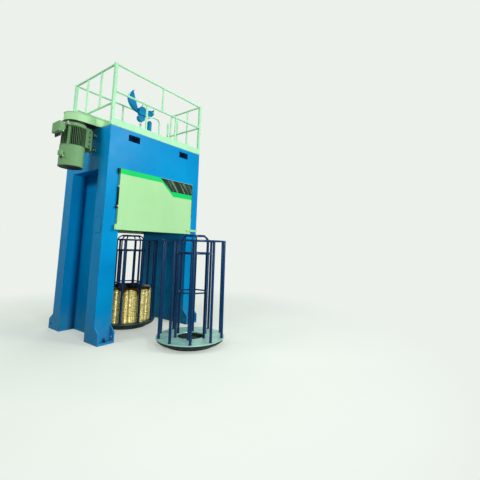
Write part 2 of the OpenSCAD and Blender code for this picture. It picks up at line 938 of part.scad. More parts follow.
columns();
column_feet();
side_webs();
front_beam();
portal_beams();
cross_beams();
deck_plate();
toe_boards();
railing_posts();
handrails();
ladder_stiles();
ladder_rungs();
ladder_brackets();
guard_panel();
guard_band();
guard_window();
guard_sill();
rear_guard();
belt_guard();
motor_body();
motor_cowl();
motor_terminal_box();
motor_bracket();
spindle_housing();
coiling_block();
guide_post();
guide_hood();
guide_roller();
side_post();
station_bases();
inner_turntable();
inner_disc();
inner_cage();
inner_cage_ring();
inner_stem_bars();
inner_stem_links();
inner_dome();
copper_coil();
outer_turntable();
outer_disc();
outer_cage();
outer_cage_ring();
outer_stem_bars();
outer_stem_links();
outer_dome();
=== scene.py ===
import math
import random

import bmesh
import bpy
from mathutils import Matrix, Vector


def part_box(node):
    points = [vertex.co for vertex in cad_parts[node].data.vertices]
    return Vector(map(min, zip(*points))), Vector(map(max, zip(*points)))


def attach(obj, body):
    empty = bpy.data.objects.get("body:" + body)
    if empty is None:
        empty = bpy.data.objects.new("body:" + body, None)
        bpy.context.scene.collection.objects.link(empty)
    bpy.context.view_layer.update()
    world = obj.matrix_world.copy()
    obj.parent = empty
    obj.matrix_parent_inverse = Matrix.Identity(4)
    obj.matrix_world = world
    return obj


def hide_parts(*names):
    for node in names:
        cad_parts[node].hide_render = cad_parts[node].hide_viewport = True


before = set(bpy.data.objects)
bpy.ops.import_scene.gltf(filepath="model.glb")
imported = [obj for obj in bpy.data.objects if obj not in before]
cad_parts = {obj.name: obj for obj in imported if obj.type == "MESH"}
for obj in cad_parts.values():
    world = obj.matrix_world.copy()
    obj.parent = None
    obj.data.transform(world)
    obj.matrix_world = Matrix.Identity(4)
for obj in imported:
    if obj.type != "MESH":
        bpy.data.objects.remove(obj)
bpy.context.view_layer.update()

random.seed(41)
scene = bpy.context.scene

UP, DOWN = Vector((0, 0, 1)), Vector((0, 0, -1))
LEFT, RIGHT = Vector((-1, 0, 0)), Vector((1, 0, 0))
FRONT, BACK = Vector((0, -1, 0)), Vector((0, 1, 0))


def linked(name, data):
    """A new object in the scene."""
    obj = bpy.data.objects.new(name, data)
    scene.collection.objects.link(obj)
    return obj


def mesh_from(bm, name):
    """A mesh made from a finished bmesh."""
    mesh = bpy.data.meshes.new(name)
    bm.to_mesh(mesh)
    bm.free()
    return mesh


# Places taken from the CAD nodes, in metres

class Box:
    """The box round a CAD node, to the millimetre, and the upright axis through its middle."""

    def __init__(self, node):
        low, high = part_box(node)
        self.left, self.front, self.foot = (round(c, 3) for c in low)
        self.right, self.back, self.top = (round(c, 3) for c in high)
        self.axis = Vector(((self.left + self.right) / 2, (self.front + self.back) / 2, 0))


PORTAL = Box("columns")
FEET = Box("column_feet")
DECK_Z = Box("deck_plate").top
TOE_BOARDS = Box("toe_boards")
RAILS = Box("handrails")
STILES = Box("ladder_stiles")
RUNGS = Box("ladder_rungs")
GUARD = Box("guard_panel")
WINDOW = Box("guard_window")
REAR_GUARD = Box("rear_guard")
BELT_GUARD = Box("belt_guard")
COWL = Box("motor_cowl")
TERMINALS = Box("motor_terminal_box")
BRACKET = Box("motor_bracket")
GUIDE_POST = Box("guide_post")
SIDE_POST = Box("side_post")
DISC = Box("inner_disc")

BLOCK_AXIS = DISC.axis
FRONT_AXIS = Box("outer_disc").axis
MOTOR = COWL.axis
MOTOR_R = COWL.right - MOTOR.x
GUIDE = Vector((0.04, 0, 4.555))


# Camera

PHOTO_SIZE = 480
FOCAL_PIXELS = 312.95
OPTICAL_CENTRE = (241.78, 205.50)
CAMERA_AT = (-3.7773, -5.5669, 1.5659)
CAMERA_DEGREES = (53.338, 7.434, 1.463)
SENSOR = 36


def photo_camera():
    """The camera stands where the photograph was taken, a little above eye height."""
    yaw, pitch, roll = (math.radians(a) for a in CAMERA_DEGREES)
    ahead = Vector((math.sin(yaw) * math.cos(pitch), math.cos(yaw) * math.cos(pitch), math.sin(pitch)))
    level = Vector((math.cos(yaw), -math.sin(yaw), 0))
    above = level.cross(ahead)
    right = math.cos(roll) * level + math.sin(roll) * above
    top = -math.sin(roll) * level + math.cos(roll) * above
    data = bpy.data.cameras.new("photo_camera")
    data.sensor_width = SENSOR
    data.lens = FOCAL_PIXELS / PHOTO_SIZE * SENSOR
    data.shift_x = (PHOTO_SIZE / 2 - OPTICAL_CENTRE[0]) / PHOTO_SIZE
    data.shift_y = (OPTICAL_CENTRE[1] - PHOTO_SIZE / 2) / PHOTO_SIZE
    data.clip_end = 200
    turn = Matrix((right, top, -ahead)).transposed().to_4x4()
    scene.camera = linked("photo_camera", data)
    scene.camera.matrix_world = Matrix.Translation(CAMERA_AT) @ turn


photo_camera()


# Finishes

class Wiring:
    """The nodes of a material or a world. Values go on sockets, sockets into sockets."""

    def __init__(self, owner):
        owner.use_nodes = True
        self.tree = owner.node_tree

    def set(self, node, **values):
        """Fills a node's inputs, named with _ for a space, or i and a number."""
        for key, value in values.items():
            numbered = key[0] == "i" and key[1:].isdigit()
            socket = node.inputs[int(key[1:]) if numbered else key.replace("_", " ")]
            if isinstance(value, bpy.types.NodeSocket):
                self.tree.links.new(value, socket)
            else:
                socket.default_value = value
        return node

    def add(self, kind, options=None, **values):
        """A new node with its options and inputs."""
        node = self.tree.nodes.new("ShaderNode" + kind)
        for key, value in (options or {}).items():
            setattr(node, key, value)
        return self.set(node, **values)

    def math(self, how, a, b, held=True):
        """Arithmetic on two values, by default held between 0 and 1."""
        return self.add("Math", {"operation": how, "use_clamp": held}, i0=a, i1=b).outputs[0]

    def seen_directly(self):
        """1 for what the camera sees, also in a reflection or through glass; 0 for scattered light."""
        rays = self.add("LightPath").outputs
        mirrored = self.math("MAXIMUM", rays["Is Glossy Ray"], rays["Is Transmission Ray"])
        return self.math("MAXIMUM", rays["Is Camera Ray"], mirrored)


class Finish(Wiring):
    """A material of one shader, on the piece's own coordinates."""

    def __init__(self, name, **fixed):
        self.made = bpy.data.materials.new(name)
        super().__init__(self.made)
        self.shader = self.set(self.tree.nodes["Principled BSDF"], **fixed)
        self.place = self.add("TexCoord").outputs["Object"]

    def stretched(self, x, y, z):
        """The piece's coordinates, scaled on each axis."""
        return self.add("Mapping", Vector=self.place, Scale=(x, y, z)).outputs[0]

    def noise(self, scale, detail, place=None, rough=0.5):
        """Cloudy noise, by default straight on the piece's coordinates."""
        place = place or self.place
        made = self.add("TexNoise", Vector=place, Scale=scale, Detail=detail, Roughness=rough)
        return made.outputs["Fac"]

    def steps(self, value, low, high, to_low=0.0, to_high=1.0):
        """A value carried over from one range to another, held at the ends."""
        made = self.add("MapRange", {"clamp": True}, i0=value, i1=low, i2=high, i3=to_low, i4=to_high)
        return made.outputs[0]

    def mix(self, amount, a, b):
        """From one colour to another by an amount."""
        return self.add("Mix", {"data_type": "RGBA"}, i0=amount, i6=a, i7=b).outputs[2]

    def height(self):
        """Height over the floor."""
        return self.add("SeparateXYZ", Vector=self.place).outputs["Z"]

    def around(self, axis):
        """Distance from an upright axis, and the angle round it."""
        centred = self.add("Mapping", Vector=self.place, Location=tuple(-axis))
        parts = self.add("SeparateXYZ", Vector=centred.outputs[0]).outputs
        flat = self.add("CombineXYZ", X=parts["X"], Y=parts["Y"]).outputs[0]
        radius = self.add("VectorMath", {"operation": "LENGTH"}, i0=flat).outputs["Value"]
        return radius, self.math("ARCTAN2", parts["Y"], parts["X"], False)

    def bump(self, value, strength, distance, under=None):
        """Relief from a value, laid over another relief where one is given."""
        made = self.add("Bump", Height=value, Strength=strength, Distance=distance)
        if under:
            self.set(made, Normal=under)
        return made.outputs[0]

    def done(self, colour, gloss, relief):
        """The finished material."""
        self.set(self.shader, Base_Color=colour, Roughness=gloss, Normal=relief)
        return self.made


def rgb(red, green, blue):
    """A screen colour, 0 to 255, as the linear light a shader wants."""
    return tuple(((c / 255 + 0.055) / 1.055) ** 2.4 if c > 10 else c / 255 / 12.92
                 for c in (red, green, blue)) + (1.0,)


def scaled(colour, share):
    """A colour made darker or lighter."""
    return [c * share for c in colour[:3]] + [1]


FLOOR_DUST = rgb(112, 122, 104)
# Dark colour between the motor's fins: dirt, and painted shade.
FIN_DIRT_AND_SHADE = rgb(22, 36, 24)
FIN_ROOT_R, FIN_TIP_R = 0.172, 0.190
FIN_FOOT, FIN_TOP = COWL.top, 3.46


def fin_grooves(f):
    """Where dirt and painted shade lie between the motor's fins: 1 deep between them, fading to 0 at
    their tips and ends.
    """
    deep = f.steps(f.around(MOTOR)[0], FIN_ROOT_R, FIN_TIP_R, 1.0, 0.0)
    height = f.height()
    over_foot = f.steps(height, FIN_FOOT, FIN_FOOT + 0.01)
    under_top = f.steps(height, FIN_TOP - 0.01, FIN_TOP, 1.0, 0.0)
    return f.math("MULTIPLY", deep, f.math("MULTIPLY", over_foot, under_top))


def paint(name, colour, faded, chipped, rough=0.42, chips=0.7, dust=0.5, peel=0.06, shine=0.08,
          finned=False):
    """Machine enamel: faded clouds, faint run marks, chips and dust by the floor."""
    f = Finish(name, Metallic=0.0, Specular_IOR_Level=shine)
    clouds = f.steps(f.noise(1.1, 4), 0.35, 0.7)
    runs = f.steps(f.noise(1.0, 3, f.stretched(5, 5, 0.6)), 0.5, 0.8, 0, 0.16)
    coat = f.mix(clouds, colour, faded)
    coat = f.mix(runs, coat, scaled(colour, 0.8))
    low = f.steps(f.height(), 0.0, 0.5, 1.0, 0.0)
    wear = f.math("ADD", f.noise(46, 7, None, 0.62), f.math("MULTIPLY", low, 0.05), False)
    chip = f.steps(wear, chips, chips + 0.015)
    coat = f.mix(chip, coat, chipped)
    dirt = f.math("MULTIPLY", f.math("MULTIPLY", low, dust), f.steps(f.noise(7, 5), 0.3, 0.65))
    coat = f.mix(dirt, coat, FLOOR_DUST)
    # Between the fins the colour darkens: dirt, and painted shade.
    if finned:
        coat = f.mix(fin_grooves(f), coat, FIN_DIRT_AND_SHADE)
    gloss = f.steps(f.noise(3.5, 5), 0.3, 0.7, rough - 0.07, rough + 0.09)
    gloss = f.math("ADD", gloss, f.math("MULTIPLY", dirt, 0.3), False)
    orange_peel = f.bump(f.noise(330, 2), peel, 0.001)
    surface = f.bump(chip, 0.25, 0.0006, orange_peel)
    return f.done(coat, gloss, surface)


blue = paint("blue_machine_enamel", rgb(0, 126, 188), rgb(2, 142, 202), rgb(44, 84, 100),
             rough=0.3, chips=0.73, dust=0.3, shine=0.05)
# A darker blue painted as the shade inside the lifting windows.
shade_painted_blue = paint("painted_shade_blue_enamel", rgb(0, 62, 112), rgb(2, 70, 122), rgb(20, 40, 50),
                    chips=0.75)
mint = paint("pale_rail_enamel", rgb(162, 216, 176), rgb(176, 228, 190), rgb(130, 136, 116),
             chips=0.73, dust=0.3)
guard_paint = paint("pale_guard_enamel", rgb(158, 206, 151), rgb(168, 214, 161), rgb(124, 138, 112),
                    rough=0.36, chips=0.78, dust=0.2, peel=0.03)
band_paint = paint("green_band_enamel", rgb(4, 190, 92), rgb(14, 200, 104), rgb(90, 150, 104),
                   rough=0.36, chips=0.8, dust=0.2, peel=0.03)
motor_coat = {"colour": rgb(102, 144, 98), "faded": rgb(116, 158, 112), "chipped": rgb(70, 80, 70),
              "rough": 0.5, "dust": 0.6, "peel": 0.1}
motor_paint = paint("motor_enamel", **motor_coat)
finned_paint = paint("finned_motor_enamel", finned=True, **motor_coat)
navy = paint("navy_bar_enamel", rgb(0, 42, 80), rgb(0, 54, 98), rgb(30, 76, 98),
             rough=0.28, chips=0.73, dust=0.12, shine=0.1)
hood_paint = paint("blue_hood_enamel", rgb(2, 114, 168), rgb(10, 128, 182), rgb(130, 176, 184),
                   rough=0.35, dust=0.2)
# Pale enamel for the guard's buffers, and for the bands painted as highlights on the hood's rims.
pale_pad_and_highlight_paint = paint("pale_pads_and_painted_highlights", rgb(176, 214, 204), rgb(206, 234, 220), rgb(90, 140, 160),
                  rough=0.3, chips=0.68, dust=0.1)


def dark_iron(name, colour):
    """Cast or hot-rolled iron with a film of oil and dust."""
    f = Finish(name, Metallic=0.1, Specular_IOR_Level=0.16)
    tone = f.mix(f.steps(f.noise(6, 6), 0.35, 0.7), colour, scaled(colour, 1.9))
    gloss = f.steps(f.noise(14, 5), 0.3, 0.7, 0.38, 0.72)
    grit = f.bump(f.noise(420, 4), 0.22, 0.0012)
    return f.done(tone, gloss, grit)


iron = dark_iron("oily_dark_iron", rgb(24, 38, 36))


def brushed_disc(name, axis, low, high, stain):
    """Plate brushed in circles about an upright axis, with rubbed and dusty patches."""
    f = Finish(name, Metallic=0.3, Specular_IOR_Level=0.4)
    radius, angle = f.around(axis)
    circles = f.add("CombineXYZ", X=f.math("MULTIPLY", radius, 160.0, False), Y=angle)
    rings = f.noise(1.6, 6, circles.outputs[0], 0.7)
    patches = f.steps(f.noise(5, 5), 0.35, 0.65)
    tone = f.mix(f.steps(rings, 0.3, 0.7), low, high)
    tone = f.mix(f.math("MULTIPLY", patches, 0.45), tone, stain)
    gloss = f.steps(rings, 0.3, 0.7, 0.3, 0.5)
    return f.done(tone, gloss, f.bump(rings, 0.15, 0.0006))


# The loaded carrier's disc is painted darker as the shade under the portal.
inner_plate = brushed_disc("shade_darkened_disc_loaded", BLOCK_AXIS,
                           rgb(46, 66, 60), rgb(84, 112, 102), rgb(60, 78, 66))
outer_plate = brushed_disc("brushed_disc_empty", FRONT_AXIS,
                           rgb(130, 178, 168), rgb(168, 210, 202), rgb(144, 186, 168))


def bright_steel(name, low, high, rough=0.3, metal=0.9):
    """Bare or plated steel with fine scratches that run level."""
    f = Finish(name, Metallic=metal)
    scratch = f.noise(1, 6, f.stretched(60, 60, 900), 0.7)
    tone = f.mix(f.steps(scratch, 0.3, 0.7), low, high)
    gloss = f.steps(scratch, 0.3, 0.7, rough - 0.08, rough + 0.12)
    return f.done(tone, gloss, f.bump(scratch, 0.1, 0.0004))


steel = bright_steel("ground_steel", rgb(140, 146, 140), rgb(196, 200, 190))
zinc = bright_steel("zinc_fasteners", rgb(128, 134, 124), rgb(190, 196, 178), 0.42)
roller_face = bright_steel("pale_roller_face", rgb(190, 204, 180), rgb(222, 230, 206), 0.35, 0.25)


GROOVE_R, CREST_R = 0.420, 0.440


def drawn_copper(name, low, high, aged, groove):
    """Bright copper wire: each strand a little different, darker where it is old, and painted darker
    as shade where it lies deep.
    """
    f = Finish(name, Metallic=0.5, Specular_IOR_Level=0.6)
    strands = f.noise(1, 4, f.stretched(44, 44, 200), 0.7)
    tone = f.mix(f.steps(strands, 0.42, 0.54), low, high)
    tone = f.mix(f.steps(f.noise(4.5, 4), 0.5, 0.8, 0, 0.35), tone, aged)
    radius, _ = f.around(BLOCK_AXIS)
    # Painted shade: the colour darkens towards the grooves between the ribs.
    tone = f.mix(f.steps(radius, GROOVE_R, CREST_R, 0.95, 0.0), tone, groove)
    gloss = f.steps(strands, 0.3, 0.7, 0.18, 0.38)
    return f.done(tone, gloss, f.bump(strands, 0.4, 0.001))


copper = drawn_copper("drawn_copper",
                      rgb(246, 210, 112), rgb(255, 252, 192), rgb(206, 150, 72), rgb(54, 38, 8))
# Darker copper painted as the shade on the coil's core.
deep_copper = drawn_copper("shaded_copper",
                           rgb(96, 64, 24), rgb(150, 106, 48), rgb(60, 40, 14), rgb(40, 26, 10))
# The top loops' copper is painted darker as the shade over the coil's top.
top_shade_copper = drawn_copper("painted_shade_top_copper",
                          rgb(80, 60, 30), rgb(134, 104, 56), rgb(52, 40, 20), rgb(74, 56, 28))


def chequer_plate():
    """Painted tread plate: crossed raised bars, worn brighter on top."""
    f = Finish("painted_chequer_plate", Metallic=0.2)
    across = f.add("Mapping", Vector=f.place, Rotation=(0, 0, math.radians(45)), Scale=(28, 28, 28))
    checks = f.add("TexBrick", {"offset": 0.5}, Vector=across.outputs[0], Scale=1.0,
                   Mortar_Size=0.26, Mortar_Smooth=0.4, Brick_Width=1.1, Row_Height=0.5)
    raised = f.math("SUBTRACT", 1.0, checks.outputs["Fac"])
    tone = f.mix(f.steps(f.noise(3, 5), 0.35, 0.7), rgb(120, 150, 126), rgb(140, 172, 146))
    tone = f.mix(f.math("MULTIPLY", raised, 0.5), tone, rgb(176, 196, 176))
    gloss = f.steps(f.noise(8, 5), 0.3, 0.7, 0.4, 0.65)
    return f.done(tone, gloss, f.bump(raised, 0.4, 0.0025))


deck_paint = chequer_plate()


def tinted_glazing():
    """Dark tinted sheet with pale slanting streaks."""
    f = Finish("tinted_glazing", Metallic=0.0, Alpha=0.72, IOR=1.46, Specular_IOR_Level=0.35)
    along_edge = f.add("Mapping", Vector=f.place, Rotation=(0, math.radians(-50), 0))
    streaks = f.add("Mapping", Vector=along_edge.outputs[0], Scale=(1.3, 2, 34))
    slant_streak = f.noise(1, 4, streaks.outputs[0], 0.6)
    tone = f.mix(f.steps(slant_streak, 0.52, 0.64), rgb(20, 46, 38), rgb(128, 160, 126))
    gloss = f.steps(slant_streak, 0.4, 0.7, 0.08, 0.26)
    return f.done(tone, gloss, f.bump(slant_streak, 0.05, 0.0005))


glazing = tinted_glazing()


def black_moulding():
    """Moulded rubber or plastic, slightly uneven."""
    f = Finish("black_moulding", Metallic=0.0, Specular_IOR_Level=0.18)
    tone = f.mix(f.steps(f.noise(12, 4), 0.35, 0.7), rgb(18, 20, 20), rgb(38, 42, 40))
    gloss = f.steps(f.noise(30, 4), 0.3, 0.7, 0.4, 0.62)
    return f.done(tone, gloss, f.bump(f.noise(500, 2), 0.15, 0.0006))


black = black_moulding()

NODE_FINISH = {
    blue: ["columns", "column_feet", "side_webs", "front_beam", "portal_beams", "cross_beams"],
    mint: ["toe_boards", "railing_posts", "handrails", "ladder_stiles", "ladder_rungs",
           "ladder_brackets", "guide_post"],
    guard_paint: ["guard_panel", "guard_sill", "rear_guard", "belt_guard"],
    band_paint: ["guard_band"],
    glazing: ["guard_window"],
    deck_paint: ["deck_plate"],
    motor_paint: ["motor_cowl", "motor_terminal_box", "motor_bracket"],
    finned_paint: ["motor_body"],
    iron: ["spindle_housing", "station_bases", "inner_turntable", "outer_turntable"],
    steel: ["coiling_block"],
    roller_face: ["guide_roller"],
    hood_paint: ["guide_hood", "side_post"],
    inner_plate: ["inner_disc"],
    outer_plate: ["outer_disc"],
    navy: ["inner_cage", "inner_cage_ring", "inner_stem_bars", "inner_stem_links", "inner_dome",
           "outer_cage", "outer_cage_ring", "outer_stem_bars", "outer_stem_links", "outer_dome"],
    copper: ["copper_coil"],
}
for finish, names in NODE_FINISH.items():
    for name in names:
        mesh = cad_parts[name].data
        mesh.materials.clear()
        mesh.materials.append(finish)


# Looks of the small pieces: a slot of the record and the finish

FRAME_BLUE = "frame_blue", blue
RAIL_MINT = "rail_mint", mint
GUARD_MINT = "guard_mint", guard_paint
MOTOR_GREEN = "motor_green", motor_paint
HOOD_BLUE = "hood_blue", hood_paint
DARK = "housing_dark", black
BRIGHT = "roller_steel", zinc


# Shaping tools

ON_AXIS = 0.0001
BEVEL = {"profile": 0.5, "affect": "EDGES", "material": -1}


def fitted(name, bm, look, body="portal", angle=35, replaces=()):
    """A finished bmesh becomes a piece that rides on a body. Its look is a slot and a finish; the slot
    is not used.
    """
    slot, finish = look
    bmesh.ops.recalc_face_normals(bm, faces=bm.faces)
    mesh = mesh_from(bm, name)
    mesh.materials.append(finish)
    mesh.shade_smooth()
    mesh.set_sharp_from_angle(angle=math.radians(angle))
    obj = linked(name, mesh)
    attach(obj, body)
    if replaces:
        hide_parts(*replaces)


def facing(direction, at):
    """A placement whose own Z looks along a direction."""
    turn = Vector(direction).to_track_quat("Z", "Y").to_matrix().to_4x4()
    return Matrix.Translation(at) @ turn


def circle(radius, angle, z=0.0):
    """A point on a level circle about the origin."""
    return Vector((radius * math.cos(angle), radius * math.sin(angle), z))


def block(bm, lo, hi, edge=0.002, segments=2):
    """A box between two corners with softened edges."""
    lo, hi = Vector(lo), Vector(hi)
    size = Matrix.Diagonal((*(hi - lo), 1))
    made = bmesh.ops.create_cube(bm, size=1, matrix=Matrix.Translation((lo + hi) / 2) @ size)
    if edge:
        edges = list({e for v in made["verts"] for e in v.link_edges})
        bmesh.ops.bevel(bm, geom=edges, offset=edge, segments=segments, clamp_overlap=True, **BEVEL)


def upright_plate(bm, lo, hi, corner):
    """A flat plate that faces left, with four rounded corners."""
    block(bm, lo, hi, 0)
    bm.verts.ensure_lookup_table()
    edges = {e for v in bm.verts[-8:] for e in v.link_edges}
    kept = [e for e in edges if abs((e.verts[0].co - e.verts[1].co).normalized().x) > 0.9]
    bmesh.ops.bevel(bm, geom=kept, offset=corner, segments=5, **BEVEL)


def rod(bm, start, end, radius, sides=16, tip=None):
    """A round bar, or a cone when the tip has its own radius."""
    start, end = Vector(start), Vector(end)
    bmesh.ops.create_cone(bm, cap_ends=True, segments=sides, radius1=radius,
                          radius2=radius if tip is None else tip, depth=(end - start).length,
                          matrix=facing(end - start, (start + end) / 2))


def band(inner, outer, low, high):
    """The profile of a flat ring between two radii and two heights."""
    return [(inner, low), (outer, low), (outer, high), (inner, high)]


def turned(bm, profile, place, steps, angle=math.tau):
    """A lathe shape: a closed profile of (radius, height) points spun about the place's own Z."""
    verts = [bm.verts.new(place @ Vector((r, 0, z))) for r, z in profile]
    edges = [bm.edges.new((verts[i], verts[(i + 1) % len(verts)])) for i in range(len(verts))]
    full = abs(angle - math.tau) < 1e-6
    bmesh.ops.spin(bm, geom=verts + edges, cent=place.translation, axis=place.to_3x3() @ UP,
                   angle=angle, steps=steps, use_merge=full, use_duplicate=False)
    if not full:
        ends = [e for e in bm.edges if e.is_boundary]
        bmesh.ops.holes_fill(bm, edges=ends, sides=len(profile))


def stock(build):
    """A small shape kept as a mesh, to be stamped wherever it is needed."""
    bm = bmesh.new()
    build(bm)
    return mesh_from(bm, "stock")


def stamp(bm, shape, place):
    """Adds a placed copy of a stock shape to a piece."""
    copy = shape.copy()
    copy.transform(place)
    bm.from_mesh(copy)
    bpy.data.meshes.remove(copy)


def unit_bolt(bm):
    """A hexagon head on its washer, one unit across, standing on the ground."""
    washer, head_r, head_foot, head_top = 0.16, 0.86, 0.14, 0.74
    turned(bm, band(ON_AXIS, 1.0, 0, washer), Matrix(), 16)
    middle = Matrix.Translation((0, 0, (head_foot + head_top) / 2))
    head = bmesh.ops.create_cone(bm, cap_ends=True, segments=6, radius1=head_r, radius2=head_r,
                                 depth=head_top - head_foot, matrix=middle)
    rim = {e for v in head["verts"] for e in v.link_edges if all(w.co.z > 0.7 for w in e.verts)}
    bmesh.ops.bevel(bm, geom=list(rim), offset=0.1, segments=1, **BEVEL)


def unit_collar(bm):
    """A weld bead round a bar of radius one, with a slightly uneven back."""
    turned(bm, [(0.98, 0), (1.26, 0), (1.2, 0.16), (1.06, 0.27), (0.98, 0.3)], Matrix(), 20)
    for vert in bm.verts:
        vert.co *= 1 + 0.02 * math.sin(9 * math.atan2(vert.co.y, vert.co.x))


BOLT = stock(unit_bolt)
COLLAR = stock(unit_collar)


def bolt(bm, at, out, size):
    """A bolt head on a face, looking out from it."""
    stamp(bm, BOLT, facing(out, at) @ Matrix.Scale(size, 4))


def collar(bm, at, out, radius):
    """A weld bead round a bar's foot, the bar standing out from a face."""
    stamp(bm, COLLAR, facing(out, at) @ Matrix.Scale(radius, 4))


# Portal

def lifting_liners():
    """Walls inside the two lifting windows, set back behind the front plate, in a darker blue painted
    as the shade inside them.
    """
    near_x, far_x = 0.476, 0.709
    low, high, wall = 3.361, 3.479, 0.003
    front, deep = PORTAL.front + 0.014, PORTAL.front + 0.224
    bm = bmesh.new()
    for side in (-1, 1):
        x0, x1 = sorted((side * near_x, side * far_x))
        block(bm, (x0, deep, low), (x1, deep + wall, high), 0)
        for z in (low, high - wall):
            block(bm, (x0, front, z), (x1, deep, z + wall), 0)
        for x in (x0, x1 - wall):
            block(bm, (x, front, low + wall), (x + wall, deep, high - wall), 0)
    fitted("lifting_window_liners", bm, ("frame_blue", shade_painted_blue))


def foot_details():
    """Anchor studs with their nuts, and the weld beads of the ears."""
    tongue_top, ear_out, bead = 0.03, 0.12, 0.005
    ear_top, ear_reach = FEET.top - 0.008, PORTAL.front - FEET.front - 0.002
    studs, beads = bmesh.new(), bmesh.new()
    for side in (-1, 1):
        x = side * (PORTAL.right - 0.14)
        for face, out in ((PORTAL.front, -1), (PORTAL.back, 1)):
            anchor = Vector((x, face + out * 0.065, tongue_top))
            bolt(studs, anchor, UP, 0.026)
            rod(studs, anchor, anchor + 0.055 * UP, 0.0115)
            for ear in (x - ear_out, x + ear_out):
                y, z = face + out * 0.001, tongue_top + 0.001
                rod(beads, (ear, y, tongue_top), (ear, y, ear_top), bead, 8)
                rod(beads, (ear, face, z), (ear, face + out * ear_reach, z), bead, 8)
            z = tongue_top + 0.001
            rod(beads, (x - ear_out, face, z), (x + ear_out, face, z), bead, 8)
    fitted("anchor_studs", studs, ("housing_dark", iron))
    fitted("foot_weld_beads", beads, FRAME_BLUE)


def access_cover():
    """A rounded cover plate and its gasket on the outer face of the front left column."""
    front, back, low, high = -0.705, -0.53, 1.73, 1.99
    face, seal, sheet, overhang = PORTAL.left, 0.0015, 0.005, 0.005
    cover, gasket, screws = bmesh.new(), bmesh.new(), bmesh.new()
    upright_plate(cover, (face - sheet, front, low), (face - seal, back, high), 0.03)
    fitted("access_cover", cover, FRAME_BLUE)
    upright_plate(gasket, (face - seal, front - overhang, low - overhang),
                  (face, back + overhang, high + overhang), 0.034)
    fitted("access_cover_gasket", gasket, DARK)
    for y in (front + 0.015, back - 0.015):
        for z in (low + 0.015, high - 0.015):
            bolt(screws, (face - sheet, y, z), LEFT, 0.006)
    fitted("access_cover_screws", screws, FRAME_BLUE)


lifting_liners()
foot_details()
access_cover()


# Deck, railing and ladder

POST_W = 0.05
RAIL_R = 0.019
TOP_RAIL = RAILS.top - RAIL_R
MIDDLE_RAIL = 4.17
LOW_RAIL = RAILS.foot + RAIL_R
BACK_RAIL_END = PORTAL.right - 0.045
SIDE_RAIL_END = 0.236

FRONT_RAIL_Y, BACK_RAIL_Y = PORTAL.front + POST_W / 2, PORTAL.back - POST_W / 2
LEFT_RAIL_X, RIGHT_RAIL_X = PORTAL.left + POST_W / 2, PORTAL.right - POST_W / 2


def railing_beads():
    """Weld beads where rails meet posts, and where the short uprights meet deck and rails."""
    beads = bmesh.new()

    def bead(x, y, z, out):
        """One bead at a rail's end."""
        collar(beads, (x, y, z), out, RAIL_R)

    def upright(x, y, low, high):
        """The beads at both ends of an upright."""
        bead(x, y, low, UP)
        bead(x, y, high, DOWN)

    width, depth = PORTAL.right - PORTAL.left, PORTAL.back - PORTAL.front
    low_bay = DECK_Z, MIDDLE_RAIL - RAIL_R
    high_bay = MIDDLE_RAIL + RAIL_R, TOP_RAIL - RAIL_R
    for z in (TOP_RAIL, MIDDLE_RAIL):
        bead(PORTAL.left + POST_W, FRONT_RAIL_Y, z, RIGHT)
        bead(PORTAL.left + POST_W, BACK_RAIL_Y, z, RIGHT)
        bead(PORTAL.right - POST_W, FRONT_RAIL_Y, z, LEFT)
        bead(RIGHT_RAIL_X, PORTAL.front + POST_W, z, BACK)
    for z in (TOP_RAIL, LOW_RAIL):
        bead(LEFT_RAIL_X, PORTAL.front + POST_W, z, BACK)
        bead(LEFT_RAIL_X, PORTAL.back - POST_W, z, FRONT)
    for y in (FRONT_RAIL_Y, BACK_RAIL_Y):
        for x in (-width / 6, width / 6):
            upright(x, y, *low_bay)
        upright(0, y, *high_bay)
    for y in (PORTAL.front + depth / 3, PORTAL.front + depth * 2 / 3):
        upright(LEFT_RAIL_X, y, LOW_RAIL + RAIL_R, TOP_RAIL - RAIL_R)
    for bay in (low_bay, high_bay):
        upright(RIGHT_RAIL_X, PORTAL.front + depth * 0.29, *bay)
    bead(RIGHT_RAIL_X, SIDE_RAIL_END, DECK_Z, UP)
    bead(BACK_RAIL_END, BACK_RAIL_Y, DECK_Z, UP)
    fitted("railing_weld_beads", beads, RAIL_MINT)


def post_feet():
    """Foot plates of the railing's posts, bolted down at the corners of the deck."""
    size, thick = 0.105, 0.008
    feet, screws = bmesh.new(), bmesh.new()
    for sx, sy in ((-1, -1), (1, -1), (-1, 1)):
        corner = Vector((sx * PORTAL.right, PORTAL.front if sy < 0 else PORTAL.back, DECK_Z))
        inner = corner + Vector((-sx * size, -sy * size, thick))
        block(feet, [*map(min, corner, inner)], [*map(max, corner, inner)])
        for dx, dy in ((0.08, 0.025), (0.08, 0.08), (0.025, 0.08)):
            bolt(screws, corner + Vector((-sx * dx, -sy * dy, thick)), UP, 0.009)
    for x, y, ahead in ((RIGHT_RAIL_X, SIDE_RAIL_END, 0.025), (BACK_RAIL_END, BACK_RAIL_Y, 0.035)):
        block(feet, (x - 0.035, y - ahead, DECK_Z), (x + 0.02, y + 0.02, DECK_Z + 0.006), 0.001)
    fitted("post_foot_plates", feet, RAIL_MINT)
    fitted("post_foot_bolts", screws, BRIGHT)


def toe_board_details():
    """Rolled upper edge and fixing bolts of the toe boards."""
    hem_r, inset, end = 0.004, 0.007, 0.05
    z = TOE_BOARDS.top - hem_r
    hem, screws = bmesh.new(), bmesh.new()
    for y in (PORTAL.front + inset, PORTAL.back - inset):
        rod(hem, (PORTAL.left + end, y, z), (PORTAL.right - end, y, z), hem_r, 10)
    x = PORTAL.right - inset
    rod(hem, (x, PORTAL.front + end, z), (x, SIDE_RAIL_END, z), hem_r, 10)
    for i in range(6):
        x = 0.36 * (i - 2.5)
        bolt(screws, (x, PORTAL.front + 0.005, DECK_Z + 0.035), BACK, 0.008)
        bolt(screws, (x, PORTAL.back - 0.005, DECK_Z + 0.035), FRONT, 0.008)
    fitted("toe_board_hems", hem, RAIL_MINT)
    fitted("toe_board_bolts", screws, BRIGHT)


